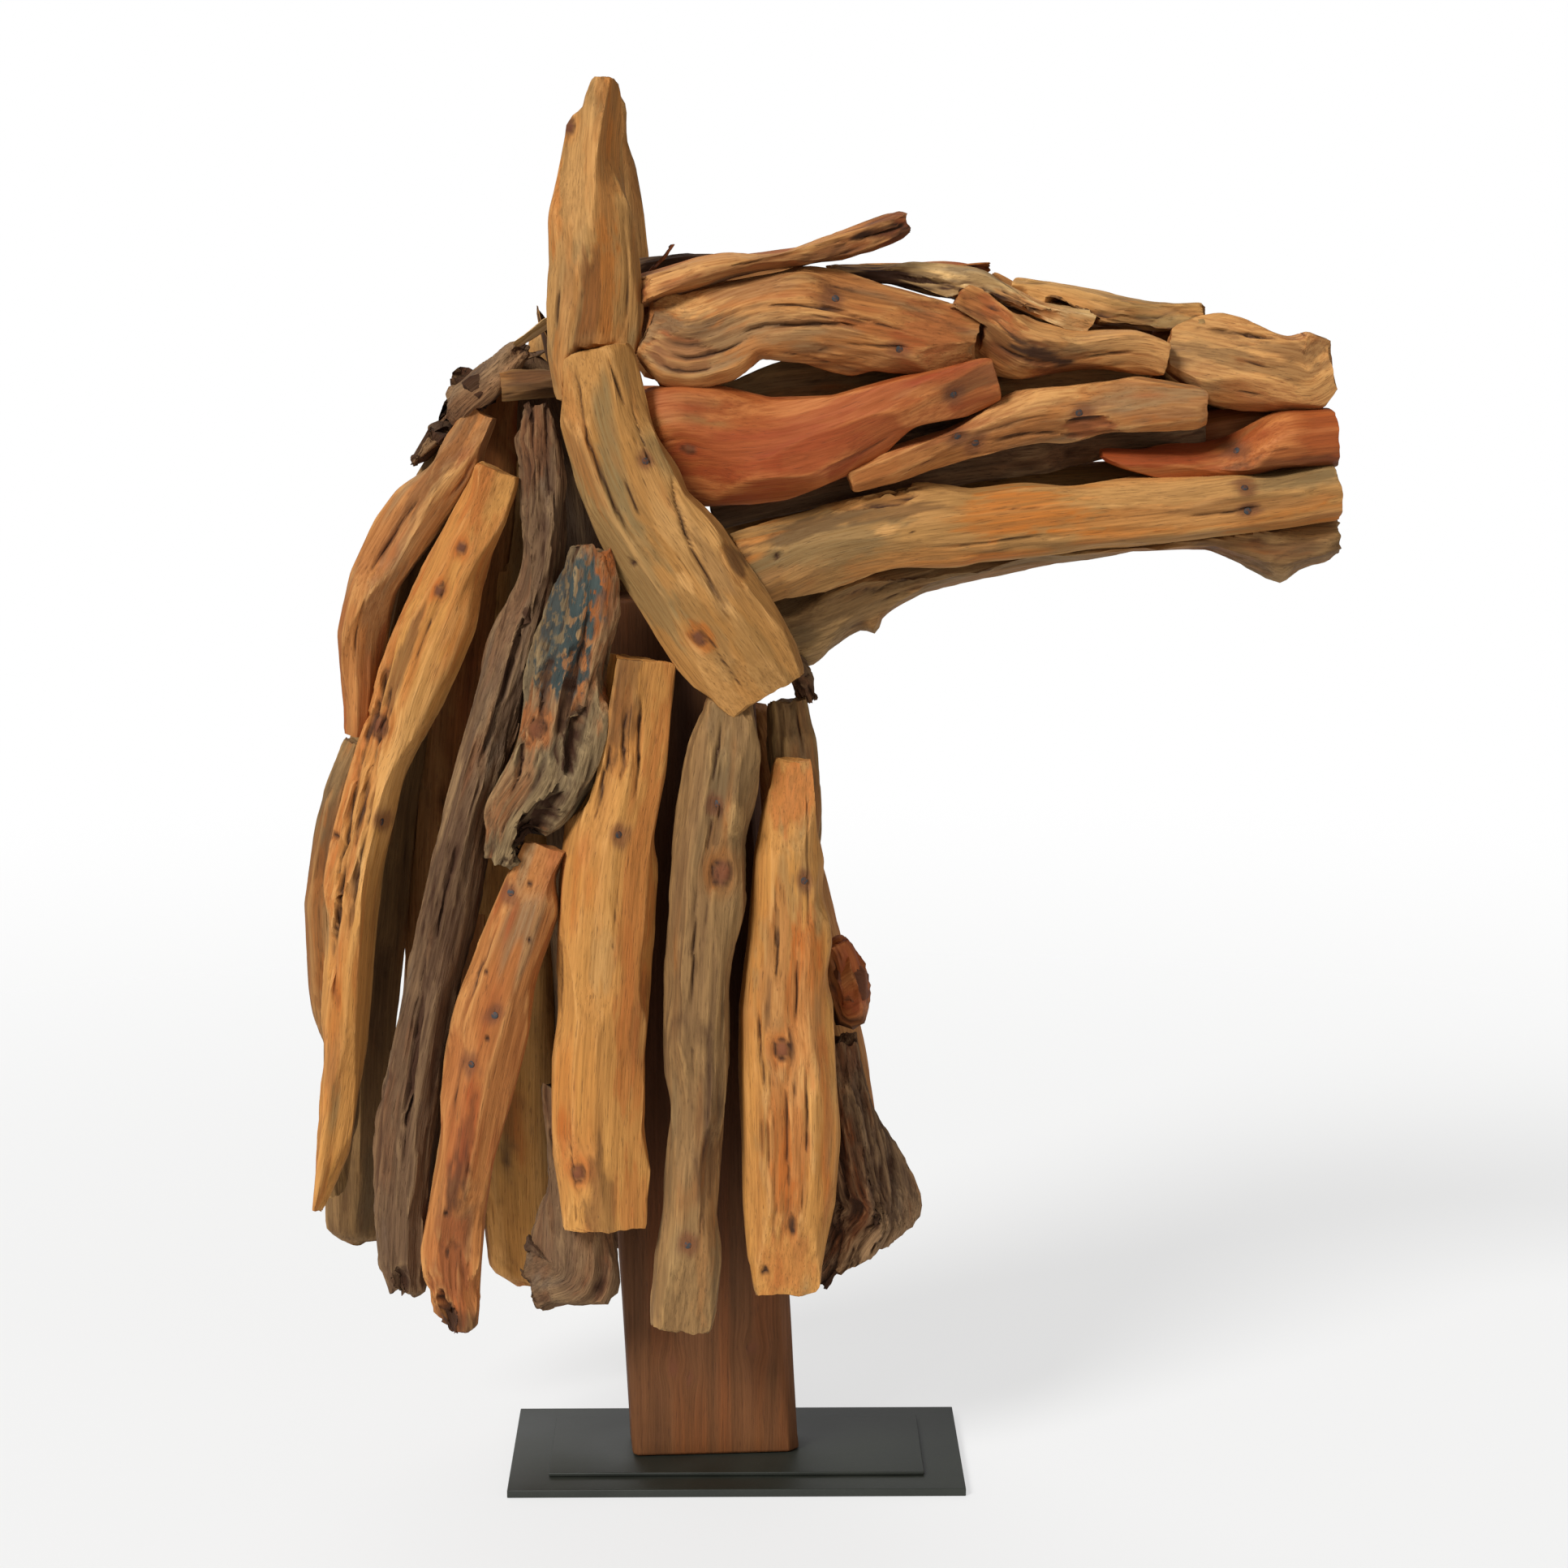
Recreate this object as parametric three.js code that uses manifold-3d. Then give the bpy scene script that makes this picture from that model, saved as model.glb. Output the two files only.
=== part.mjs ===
// A horse's head and neck put together from weathered driftwood sticks, on a squared post that
// stands on a low two-step metal base.
//
// Millimetres, +Z up. The origin is at the middle of the base's underside. The horse looks
// along +X. Its near side faces -Y and its far side +Y.
//
// Every stick is one loft. Its rows run from one end to the other, each with a place on the
// stick's middle line and the width seen from the side. Where two sticks would meet, the one
// further down the list is cut back, so that a small gap is left between them.
import * as THREE from "three";
import { mergeVertices } from "three/addons/utils/BufferGeometryUtils.js";
import Module from "manifold-3d";

const wasm = await Module();
wasm.setup();

// Driving dimensions.
const HEIGHT = 736.6; // underside of the base to the tip of the near ear
const GAP = 0.3; // left between two pieces that touch
const BASE = { length: 241.6, depth: 133, thick: 4.3, corner: 1 };
const PAD = { length: 199.5, depth: 93, thick: 2, corner: 0.6 };
const POST = { wide: 90, thick: 38, top: 470, lean: 26, foot: -12, turn: 4, edge: 3 };
const END_TAPER = 0.72; // how much of its thickness a stick keeps at its worn ends
const WOBBLE = 0.07; // how uneven a hewn section is, as a share of its size
const EDGE_SHARE = 0.4; // the least of a turned stick's seen width that is its broad face
const TWIN_SHIFT = [-2, -4]; // how far along X and Z a far stick stands from its near twin
const TWIN_WIDTH = [0.92, 0.98]; // least and most of the near twin's width

// The woods and the metal, each with its colour, roughness and metalness.
const FINISH = {
  honey: ["#c49455", 0.82, 0],
  golden: ["#c8924f", 0.8, 0],
  orange: ["#b4743c", 0.8, 0],
  red: ["#9c5526", 0.78, 0],
  tan: ["#a98356", 0.85, 0],
  grey: ["#94795a", 0.9, 0],
  rough: ["#86694b", 0.92, 0],
  bark: ["#5e4a38", 0.95, 0],
  pale: ["#d6ac72", 0.84, 0],
  painted: ["#7c6e59", 0.85, 0],
  post: ["#7d4e2e", 0.75, 0],
  metal: ["#3c3f3a", 0.55, 0.4],
};

// Sections, as shares of half the width (first) and half the thickness (second, + is outward).
const SECTION = {
  split: [[-1, -0.5], [-0.95, 0.35], [-0.55, 0.95], [0.4, 1],
    [0.92, 0.5], [1, -0.45], [0.6, -1], [-0.65, -1]],
  plank: [[-1, -0.72], [-1, 0.66], [-0.84, 1], [0.82, 1],
    [1, 0.7], [1, -0.74], [0.84, -1], [-0.86, -1]],
  round: [...Array(8).keys()].map((i) => {
    const angle = -((i + 0.5) / 8) * 2 * Math.PI;
    return [Math.cos(angle), Math.sin(angle)];
  }),
};

// The sticks. rows: x, z and width of each station. depth: y of the middle line at the first
// and last row. thick: at the first row, halfway and the last. roll: degrees that the broad
// face turns towards +X. cut: degrees that the first and last ends are sawn askew.
const HEAD_STICKS = [
  {
    name: "temple_strap", wood: "honey", section: "split", depth: [-60, -66], thick: [22, 32, 24],
    twinShift: [-24, 4],
    rows: [[-69, 602, 24], [-67, 594, 35], [-65, 567, 47], [-57, 543, 50], [-46, 517, 50],
      [-30, 496, 60], [-13, 467, 62], [1, 447, 57], [11, 436, 49], [18, 425, 30]],
  },
  {
    name: "ear", wood: "tan", section: "split", depth: [-46, -48], thick: [8, 26, 22],
    rows: [[-65, HEIGHT, 7], [-64, 726, 19], [-64, 717, 22], [-68, 711, 32], [-69, 695, 41],
      [-69, 669, 47], [-67, 642, 49], [-69, 619, 51], [-73, 596, 42], [-78, 573, 25]],
  },
  {
    name: "forelock_plank", wood: "orange", section: "plank", depth: [-34, -26], thick: [36, 44, 24],
    rows: [[-60, 624, 13], [-43, 629, 15], [-17, 638, 13], [11, 643, 12], [40, 648, 11],
      [61, 654, 12], [78, 660, 12], [89, 664, 8]],
  },
  {
    name: "brow", wood: "orange", section: "split", depth: [-43, -42], thick: [24, 32, 22],
    twinShift: [-9, -3],
    rows: [[-43, 597, 31], [-27, 602, 46], [-7, 608, 46], [9, 616, 38], [36, 617, 46],
      [59, 614, 51], [83, 609, 50], [105, 606, 37], [126, 603, 18]],
  },
  {
    name: "cheek", wood: "red", section: "split", depth: [-46, -42], thick: [26, 32, 22],
    twinShift: [-26, -4],
    rows: [[-54, 560, 40], [-38, 555, 54], [-12, 548, 66], [22, 549, 51], [57, 557, 40],
      [88, 571, 29], [110, 578, 27], [126, 583, 24], [134, 585, 15]],
  },
  {
    name: "nose_side", wood: "orange", section: "split", depth: [-36, -30], thick: [20, 30, 20],
    twinShift: [16, 4],
    rows: [[113, 625, 14], [124, 615, 30], [137, 604, 36], [152, 597, 34], [168, 594, 30],
      [188, 596, 27], [206, 597, 22], [222, 593, 10]],
  },
  {
    name: "mid_cheek", wood: "orange", section: "split", depth: [-42, -31], thick: [16, 26, 16],
    twinShift: [16, -2],
    rows: [[57, 536, 13], [72, 539, 16], [94, 546, 20], [121, 555, 23], [154, 565, 31],
      [190, 569, 39], [218, 571, 33], [234, 570, 19], [241, 570, 8]],
  },
  {
    name: "muzzle_top", wood: "orange", section: "split", depth: [-19, -17], thick: [20, 36, 34],
    twinShift: [-7, -3],
    rows: [[222, 598, 14], [237, 597, 36], [251, 594, 46], [268, 590, 44], [286, 587, 39],
      [299, 581, 30], [308, 577, 22]],
  },
  {
    name: "upper_lip", wood: "red", section: "split", depth: [-28, -18], thick: [12, 30, 46],
    twinShift: [-5, 2],
    rows: [[188, 547, 4], [200, 545, 12], [218, 544, 21], [246, 547, 29], [280, 551, 30], [309, 553, 27]],
  },
  {
    name: "jaw", wood: "tan", section: "split", depth: [-43, -19], thick: [26, 32, 46],
    twinShift: [-14, 6],
    rows: [[10, 497, 43], [24, 496, 46], [57, 501, 50], [91, 507, 49], [124, 509, 36],
      [165, 513, 37], [206, 515, 33], [247, 518, 30], [284, 522, 29], [310, 526, 30]],
  },
];

// Sticks on the crown of the head, under the jaw and inside, which have no twin.
const MIDDLE_STICKS = [
  {
    name: "forehead_plank", wood: "pale", section: "plank", depth: [-16, -10], thick: [34, 46, 38],
    rows: [[48, 637, 6], [80, 638, 10], [105, 634, 16], [129, 629, 19], [148, 624, 18], [166, 617, 16],
      [184, 612, 8]],
  },
  {
    name: "nose_top_plank", wood: "honey", section: "plank", depth: [1, 0], thick: [28, 42, 28],
    rows: [[143, 630, 7], [162, 623, 18], [193, 618, 17], [224, 615, 16], [244, 616, 8]],
  },
  {
    name: "ridge_strip", wood: "orange", section: "plank", depth: [22, 20], thick: [28, 34, 22],
    rows: [[46, 637, 9], [83, 637, 10], [108, 637, 10], [135, 633, 8]],
  },
  {
    name: "poll_board", wood: "bark", section: "plank", depth: [12, 14], thick: [34, 40, 26],
    rows: [[-90, 627, 12], [-62, 635, 13], [-40, 638, 12], [-23, 639, 13], [-7, 639, 11]],
  },
  {
    name: "poll_splinter", wood: "red", section: "plank", depth: [-12, -12], thick: [10, 8, 3],
    rows: [[-47, 634, 10], [-41, 640, 9], [-36, 648, 6], [-30, 653, 2]],
  },
  {
    name: "poll_log", wood: "grey", section: "round", depth: [-30, -30], thick: [18, 18, 18],
    rows: [[-121, 581, 18], [-100, 583, 18], [-78, 584, 18]],
  },
  {
    name: "poll_strip", wood: "pale", section: "plank", depth: [-17, -17], thick: [16, 18, 16],
    rows: [[-112, 597, 5], [-90, 613, 5]],
  },
  {
    name: "poll_spike", wood: "honey", section: "plank", depth: [6, 6], thick: [6, 14, 16],
    rows: [[-105, 621, 3], [-101, 613, 9], [-99, 603, 11], [-94, 588, 11]],
  },
  {
    name: "crest_bark", wood: "bark", section: "plank", depth: [-4, -4], thick: [46, 54, 36],
    rows: [[-150, 556, 10], [-138, 572, 15], [-126, 582, 12], [-110, 598, 9]],
  },
  {
    name: "crest_chip", wood: "rough", section: "plank", depth: [-4, -4], thick: [30, 38, 32],
    rows: [[-172, 532, 6], [-160, 548, 11], [-149, 556, 8]],
  },
  {
    name: "under_jaw", wood: "grey", section: "split", depth: [-8, 0], thick: [42, 54, 50],
    rows: [[26, 449, 42], [52, 465, 35], [80, 478, 30], [118, 487, 27], [163, 496, 23],
      [206, 503, 20], [248, 505, 22], [280, 499, 40], [302, 503, 32], [311, 508, 20]],
  },
  {
    name: "eye_board", wood: "grey", section: "plank", depth: [-14, -6], thick: [10, 10, 8],
    rows: [[-12, 566, 20], [28, 573, 37], [72, 576, 34], [140, 590, 30], [216, 590, 22]],
  },
  {
    name: "jaw_board", wood: "rough", section: "plank", depth: [-16, -6], thick: [10, 10, 8],
    rows: [[-16, 522, 34], [60, 540, 36], [150, 551, 34], [246, 558, 24]],
  },
];

// The near side of the neck, from the middle of the side to the nape and the throat.
const NECK_STICKS = [
  {
    name: "stave_painted", wood: "painted", section: "split", depth: [-62, -74], thick: [18, 26, 14],
    rows: [[-71, 505, 15], [-72, 494, 24], [-77, 460, 40], [-85, 434, 51], [-91, 406, 56],
      [-96, 381, 52], [-114, 360, 28], [-118, 344, 16], [-119, 338, 11]],
  },
  {
    name: "stave_short", wood: "orange", section: "split", depth: [-70, -78], thick: [16, 28, 18], roll: -6,
    rows: [[-98, 350, 19], [-100, 340, 28], [-105, 321, 34], [-114, 296, 39], [-122, 269, 41],
      [-130, 241, 41], [-140, 188, 32], [-145, 157, 30], [-148, 130, 33], [-146, 106, 26], [-142, 95, 10]],
  },
  {
    name: "stave_straight", wood: "golden", section: "split", depth: [-60, -82], thick: [26, 34, 30],
    rows: [[-48, 445, 35], [-54, 409, 40], [-61, 369, 47], [-64, 327, 48], [-67, 286, 47],
      [-70, 240, 45], [-71, 202, 44], [-69, 180, 49], [-70, 150, 41]],
  },
  {
    name: "stave_long", wood: "grey", section: "split", depth: [-58, -76], thick: [20, 32, 24], roll: 4,
    rows: [[-1, 431, 7], [-3, 418, 25], [-5, 399, 36], [-10, 362, 41], [-14, 323, 41],
      [-18, 281, 37], [-20, 241, 34], [-21, 198, 29], [-24, 156, 29], [-25, 133, 36], [-28, 106, 35],
      [-30, 93, 27]],
  },
  {
    name: "stave_front", wood: "golden", section: "split", depth: [-50, -68], thick: [18, 32, 26], roll: 6,
    rows: [[29, 392, 9], [30, 375, 27], [28, 341, 37], [28, 299, 45], [27, 262, 50],
      [28, 230, 53], [29, 192, 52], [28, 158, 48], [26, 129, 40], [28, 111, 29]],
  },
  {
    name: "stave_big", wood: "golden", section: "split", depth: [-36, -54], thick: [18, 32, 18], roll: -16,
    rows: [[-124, 540, 13], [-126, 526, 29], [-141, 489, 41], [-154, 458, 42], [-167, 425, 43],
      [-179, 385, 44], [-188, 350, 46], [-196, 318, 42], [-200, 285, 34], [-202, 245, 28],
      [-207, 198, 22], [-215, 166, 12], [-219, 152, 6]],
  },
  {
    name: "stave_rough", wood: "rough", section: "split", depth: [-40, -62], thick: [20, 32, 22], roll: -6,
    rows: [[-98, 575, 5], [-102, 555, 25], [-99, 513, 29], [-104, 482, 31], [-114, 445, 29],
      [-122, 410, 29], [-136, 368, 27], [-145, 331, 28], [-155, 284, 29], [-164, 237, 29],
      [-170, 204, 31], [-175, 154, 30], [-174, 126, 25], [-170, 108, 14]],
  },
  {
    name: "stave_behind", wood: "rough", section: "split", depth: [-60, -64], thick: [18, 26, 22],
    rows: [[-88, 225, 20], [-86, 190, 34], [-84, 163, 40], [-85, 129, 46], [-83, 104, 45]],
  },
  {
    name: "throat_stave", wood: "grey", section: "split", depth: [-28, -38], thick: [18, 30, 26], roll: 14,
    rows: [[27, 420, 18], [30, 397, 28], [33, 364, 27], [35, 331, 25], [36, 290, 26], [36, 237, 26],
      [37, 190, 24]],
  },
  {
    name: "throat_knob", wood: "rough", section: "round", depth: [-24, -24], thick: [10, 20, 12],
    rows: [[28, 441, 10], [31, 427, 22], [36, 411, 10]],
  },
  {
    name: "throat_block", wood: "red", section: "split", depth: [-24, -24], thick: [22, 36, 32],
    rows: [[51, 291, 7], [55, 281, 14], [58, 266, 22], [59, 243, 20]],
  },
  {
    name: "bark_flare", wood: "bark", section: "split", depth: [-20, -22], thick: [30, 48, 58],
    cut: [0, -17],
    rows: [[53, 240, 19], [55, 212, 25], [60, 186, 35], [67, 157, 51], [75, 124, 70]],
  },
  {
    name: "nape_stave", wood: "orange", section: "split", depth: [-22, -30], thick: [22, 34, 22], roll: -14,
    rows: [[-129, 568, 14], [-139, 547, 28], [-155, 528, 35], [-171, 505, 38], [-185, 480, 33],
      [-192, 452, 29], [-193, 427, 24], [-195, 400, 14]],
  },
  {
    name: "nape_slab", wood: "grey", section: "split", depth: [-12, -16], thick: [22, 34, 24], roll: -14,
    rows: [[-193, 394, 24], [-203, 365, 28], [-209, 335, 30], [-212, 309, 32], [-211, 283, 31],
      [-211, 245, 28], [-209, 190, 20], [-212, 150, 10]],
  },
];

// The far side's staves stand round an oval that widens towards the skirt. Each has a place
// round it, where 0 is the throat and 180 the nape, its lowest and highest point and width.
const OVAL = [
  { z: 90, middle: -60, long: 160, wide: 84 },
  { z: 250, middle: -76, long: 136, wide: 72 },
  { z: 400, middle: -84, long: 108, wide: 52 },
  { z: 600, middle: -102, long: 36, wide: 26 },
];
const FAR_STAVES = [
  { name: "far_stave_1", wood: "grey", place: 160, low: 116, high: 548, wide: 46, thick: 30 },
  { name: "far_stave_2", wood: "orange", place: 129, low: 82, high: 580, wide: 50, thick: 30 },
  { name: "far_stave_3", wood: "golden", place: 112, low: 78, high: 540, wide: 56, thick: 32 },
  { name: "far_stave_4", wood: "rough", place: 95, low: 100, high: 586, wide: 54, thick: 30 },
  { name: "far_stave_5", wood: "honey", place: 76, low: 88, high: 450, wide: 46, thick: 32 },
  { name: "far_stave_6", wood: "grey", place: 56, low: 96, high: 430, wide: 42, thick: 30 },
  { name: "far_stave_7", wood: "orange", place: 30, low: 134, high: 408, wide: 38, thick: 28 },
];
const FAR_ROWS = 8;
const FAR_SWAY = 5; // most degrees that a far stave bows round the oval
const FAR_CUT = 25; // most degrees that its ends are sawn askew
const FAR_THICK = [0.6, 1, 0.8]; // its thickness at the top, halfway and the foot, as shares
const FAR_WIDE = { least: 0.45, start: 0.12, span: 0.82, power: 0.6, uneven: 0.1 }; // its swell

// A repeatable stream of numbers from 0 to 1, started from a word.
function dice(word) {
  let state = [...word].reduce((sum, letter) => (sum * 31 + letter.charCodeAt(0)) >>> 0, 7);
  return () => {
    state = (state + 0x6d2b79f5) >>> 0;
    let mixed = Math.imul(state ^ (state >>> 15), 1 | state);
    mixed = (mixed + Math.imul(mixed ^ (mixed >>> 7), 61 | mixed)) ^ mixed;
    return ((mixed ^ (mixed >>> 14)) >>> 0) / 2 ** 32;
  };
}

const mix = THREE.MathUtils.lerp;
const radians = THREE.MathUtils.degToRad;

// The value at a share of the way along three evenly spaced values.
const through = ([first, middle, last], share) =>
  share < 0.5 ? mix(first, middle, share * 2) : mix(middle, last, share * 2 - 1);

// A stick of the near side as stations: each has its place, its true width and its turn. A
// turned stick shows some of its thickness too, which is taken off the width that is seen.
function sideStick({ rows, depth, roll = 0, ...rest }) {
  const turn = radians(roll);
  const stations = rows.map(([x, z, seen], i) => {
    const share = i / (rows.length - 1);
    const thickness = through(rest.thick, share) * Math.abs(Math.sin(turn));
    const broad = Math.max(seen - thickness, seen * EDGE_SHARE);
    const place = new THREE.Vector3(x, mix(depth[0], depth[1], share), z);
    return { place, turn, wide: roll ? broad / Math.cos(turn) : seen };
  });
  return { ...rest, stations };
}

// A near stick's twin on the far side, a little shifted and narrowed so that they differ.
function twin(stick) {
  const draw = dice("far " + stick.name);
  const [dx, dz] = stick.twinShift ?? TWIN_SHIFT;
  const near = sideStick(stick);
  const stations = near.stations.map(({ place, wide, turn }) => ({
    place: new THREE.Vector3(place.x + dx, -place.y, place.z + dz),
    wide: wide * mix(...TWIN_WIDTH, draw()),
    turn: Math.PI - turn,
  }));
  return { ...near, name: "far_" + stick.name, stations };
}

// The neck's oval at a height, blended between the heights that OVAL gives.
function ovalAt(z) {
  const next = Math.max(1, OVAL.findIndex((level) => level.z >= z));
  const [below, above] = [OVAL[next - 1], OVAL[next]];
  const share = (z - below.z) / (above.z - below.z);
  return Object.fromEntries(
    ["middle", "long", "wide"].map((key) => [key, mix(below[key], above[key], share)]),
  );
}

// A stave of the far side: it follows the oval down, narrow at the top and full lower down.
function farStave({ name, wood, place, low, high, wide, thick }) {
  const draw = dice(name);
  const sway = mix(-FAR_SWAY, FAR_SWAY, draw());
  const stations = [...Array(FAR_ROWS).keys()].map((i) => {
    const share = i / (FAR_ROWS - 1);
    const z = mix(high, low, share);
    const angle = radians(place + sway * Math.sin(share * Math.PI));
    const oval = ovalAt(z);
    const bulge = Math.sin(Math.PI * (FAR_WIDE.start + share * FAR_WIDE.span)) ** FAR_WIDE.power;
    return {
      place: new THREE.Vector3(
        oval.middle + oval.long * Math.cos(angle),
        oval.wide * Math.sin(angle),
        z,
      ),
      wide: wide * mix(FAR_WIDE.least, 1, bulge) * (1 + FAR_WIDE.uneven * (draw() - 0.5)),
      turn: Math.atan2(Math.cos(angle) / oval.long, -Math.sin(angle) / oval.wide),
    };
  });
  const cut = [mix(-FAR_CUT, FAR_CUT, draw()), mix(-FAR_CUT, FAR_CUT, draw())];
  return { name, wood, stations, cut, section: "split", thick: FAR_THICK.map((part) => part * thick) };
}

// The corner points of each station of a stick, grown by grow on every side.
function rings({ name, stations, thick, section, cut = [0, 0] }, grow) {
  const draw = dice(name);
  const corners = SECTION[section];
  const uneven = corners.map(() => [draw() - 0.5, draw() - 0.5]);
  const last = stations.length - 1;
  return stations.map(({ place, wide, turn }, i) => {
    const before = stations[Math.max(0, i - 1)].place;
    const after = stations[Math.min(last, i + 1)].place;
    const along = after.clone().sub(before).normalize();
    const outward = new THREE.Vector3(Math.sin(turn), -Math.cos(turn), 0);
    outward.addScaledVector(along, -outward.dot(along)).normalize();
    const across = new THREE.Vector3().crossVectors(outward, along);
    const isEnd = i === 0 || i === last;
    const askew = isEnd ? radians(cut[i && 1]) : 0;
    across.multiplyScalar(Math.cos(askew)).addScaledVector(along, Math.sin(askew));
    const halfWide = wide / 2 / Math.cos(askew) + grow;
    const halfDeep = (through(thick, i / last) * (isEnd ? END_TAPER : 1)) / 2 + grow;
    const centre = place.clone();
    if (isEnd) centre.addScaledVector(along, i === 0 ? -grow : grow);
    return corners.map(([side, out], k) => {
      const wander = 1 + WOBBLE * (draw() - 0.5);
      return centre
        .clone()
        .addScaledVector(across, (side * wander + uneven[k][0] * WOBBLE) * halfWide)
        .addScaledVector(outward, (out * wander + uneven[k][1] * WOBBLE) * halfDeep);
    });
  });
}

// A closed solid through rings of points, the first and last filled in.
function loft(loops) {
  const count = loops[0].length;
  const points = loops.flat();
  const faces = [];
  for (let i = 0; i < loops.length - 1; i++) {
    for (let k = 0; k < count; k++) {
      const a = i * count + k;
      const b = i * count + ((k + 1) % count);
      faces.push(a, b, b + count, a, b + count, a + count);
    }
  }
  const foot = points.length - count;
  for (let k = 1; k < count - 1; k++) {
    faces.push(0, k + 1, k, foot, foot + k, foot + k + 1);
  }
  return solid(points.flatMap((point) => point.toArray()), faces);
}

// A manifold solid from corner coordinates and triangles, turned outward if it isn't yet.
function solid(corners, faces) {
  const vertProperties = new Float32Array(corners);
  const build = (triVerts) => new wasm.Manifold(new wasm.Mesh({ numProp: 3, vertProperties, triVerts }));
  const made = build(new Uint32Array(faces));
  return made.volume() > 0 ? made : build(new Uint32Array(faces).reverse());
}

// A manifold solid from a closed three.js geometry.
function solidOf(geometry) {
  const bare = geometry.clone();
  bare.deleteAttribute("normal");
  bare.deleteAttribute("uv");
  const merged = mergeVertices(bare);
  return solid(merged.attributes.position.array, merged.index.array);
}

// A three.js geometry from a manifold solid.
function geometryOf(body) {
  const { vertProperties, triVerts } = body.getMesh();
  const geometry = new THREE.BufferGeometry();
  geometry.setAttribute("position", new THREE.BufferAttribute(vertProperties, 3));
  geometry.setIndex(new THREE.BufferAttribute(triVerts, 1));
  geometry.computeVertexNormals();
  return geometry;
}

// A block standing on low with the given outline corners, in order round it.
function block(corners, height, low) {
  const outline = new THREE.Shape(corners.map(([x, y]) => new THREE.Vector2(x, y)));
  const geometry = new THREE.ExtrudeGeometry(outline, { depth: height, bevelEnabled: false });
  return geometry.translate(0, 0, low);
}

// The squared post. It leans back as it rises, and its front edge towards +X is worn widest.
function post() {
  const { wide, thick, edge, turn, lean, foot, top } = POST;
  const [a, b] = [wide / 2, thick / 2];
  const low = BASE.thick + PAD.thick + 2 * GAP;
  const corners = [[-a + edge, -b], [a - 2 * edge, -b], [a, -b + 2 * edge], [a, b - edge],
    [a - edge, b], [-a + edge, b], [-a, b - edge], [-a, -b + edge]];
  const geometry = block(corners, top - low, 0);
  geometry.rotateZ(radians(turn));
  geometry.applyMatrix4(new THREE.Matrix4().makeShear(0, 0, 0, 0, -lean / (top - low), 0));
  return geometry.translate(foot, 0, low);
}

// A flat plate with its corners taken off, its underside at low.
function plate({ length, depth, thick, corner }, low) {
  const [a, b] = [length / 2, depth / 2];
  const corners = [[-a + corner, -b], [a - corner, -b], [a, -b + corner], [a, b - corner],
    [a - corner, b], [-a + corner, b], [-a, b - corner], [-a, -b + corner]];
  return block(corners, thick, low);
}

const model = new THREE.Group();

// Puts a named piece of a given finish into the model.
function add(name, finish, geometry) {
  const [color, roughness, metalness] = FINISH[finish];
  const mesh = new THREE.Mesh(geometry, new THREE.MeshStandardMaterial({ color, roughness, metalness }));
  mesh.name = name;
  model.add(mesh);
}

add("base_plate", "metal", plate(BASE, 0));
add("base_pad", "metal", plate(PAD, BASE.thick + GAP));
add("post", "post", post());

// Each stick is cut by all that come before it, and its largest remaining body is kept.
const placed = [solidOf(post())];
const sticks = [
  ...HEAD_STICKS.map(sideStick),
  ...NECK_STICKS.map(sideStick),
  ...HEAD_STICKS.map(twin),
  ...MIDDLE_STICKS.map(sideStick),
  ...FAR_STAVES.map(farStave),
];
for (const stick of sticks) {
  let body = loft(rings(stick, 0));
  for (const other of placed) body = body.subtract(other);
  const bodies = body.decompose();
  bodies.sort((a, b) => b.volume() - a.volume());
  add(stick.name, stick.wood, geometryOf(bodies[0]));
  placed.push(loft(rings(stick, GAP)));
}

export default model;
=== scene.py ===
"""A horse's head of driftwood sticks nailed together, on a squared post and a low metal base.

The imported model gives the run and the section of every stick. Each stick is made again here as a
fine skin whose lines follow its grain, so that furrows, cracks, knots and worn edges lie in it as
they do in wood. A skin starts as a flat grid, is rolled round the stick, carved and closed.
Lengths are in metres, and MM turns millimetres to them. Places on a stick are shares: along from
0 to 1, and across from -1 to 1.
"""

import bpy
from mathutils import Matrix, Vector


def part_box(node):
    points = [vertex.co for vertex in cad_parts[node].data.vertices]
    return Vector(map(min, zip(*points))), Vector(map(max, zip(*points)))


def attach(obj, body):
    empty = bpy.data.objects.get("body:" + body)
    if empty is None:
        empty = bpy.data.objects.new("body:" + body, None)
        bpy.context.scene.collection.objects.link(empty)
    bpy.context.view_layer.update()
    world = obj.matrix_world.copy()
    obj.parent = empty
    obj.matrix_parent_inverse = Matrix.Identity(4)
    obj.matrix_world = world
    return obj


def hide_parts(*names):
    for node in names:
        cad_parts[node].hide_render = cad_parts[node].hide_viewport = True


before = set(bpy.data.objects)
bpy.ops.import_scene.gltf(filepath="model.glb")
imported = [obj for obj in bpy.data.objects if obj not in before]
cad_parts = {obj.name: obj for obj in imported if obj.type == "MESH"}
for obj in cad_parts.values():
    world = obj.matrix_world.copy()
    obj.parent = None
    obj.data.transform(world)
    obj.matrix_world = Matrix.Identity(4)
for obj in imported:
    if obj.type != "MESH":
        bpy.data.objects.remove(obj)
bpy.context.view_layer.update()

import logging
import math
import zlib
from dataclasses import dataclass, field, replace
from enum import Enum

import bpy
import numpy as np
from mathutils import Vector
from mathutils.bvhtree import BVHTree

logging.basicConfig(level=logging.INFO, format="%(message)s")
log = logging.getLogger("horse")

MM = 0.001
WOOD_SMOOTH = math.radians(38)


class Side(Enum):
    """The side of the sculpture that a stick shows, as a direction."""

    NEAR = (0.0, -1.0, 0.0)
    FAR = (0.0, 1.0, 0.0)


class Tone(Enum):
    """What a skin's tones stand for."""

    GREY = "grey"
    WARM = "warm"
    DARK = "dark"
    LIGHT = "light"
    PAINT = "paint"
    KNOT = "knot"


GREY, WARM, DARK, LIGHT, PAINT, KNOT = Tone


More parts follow.
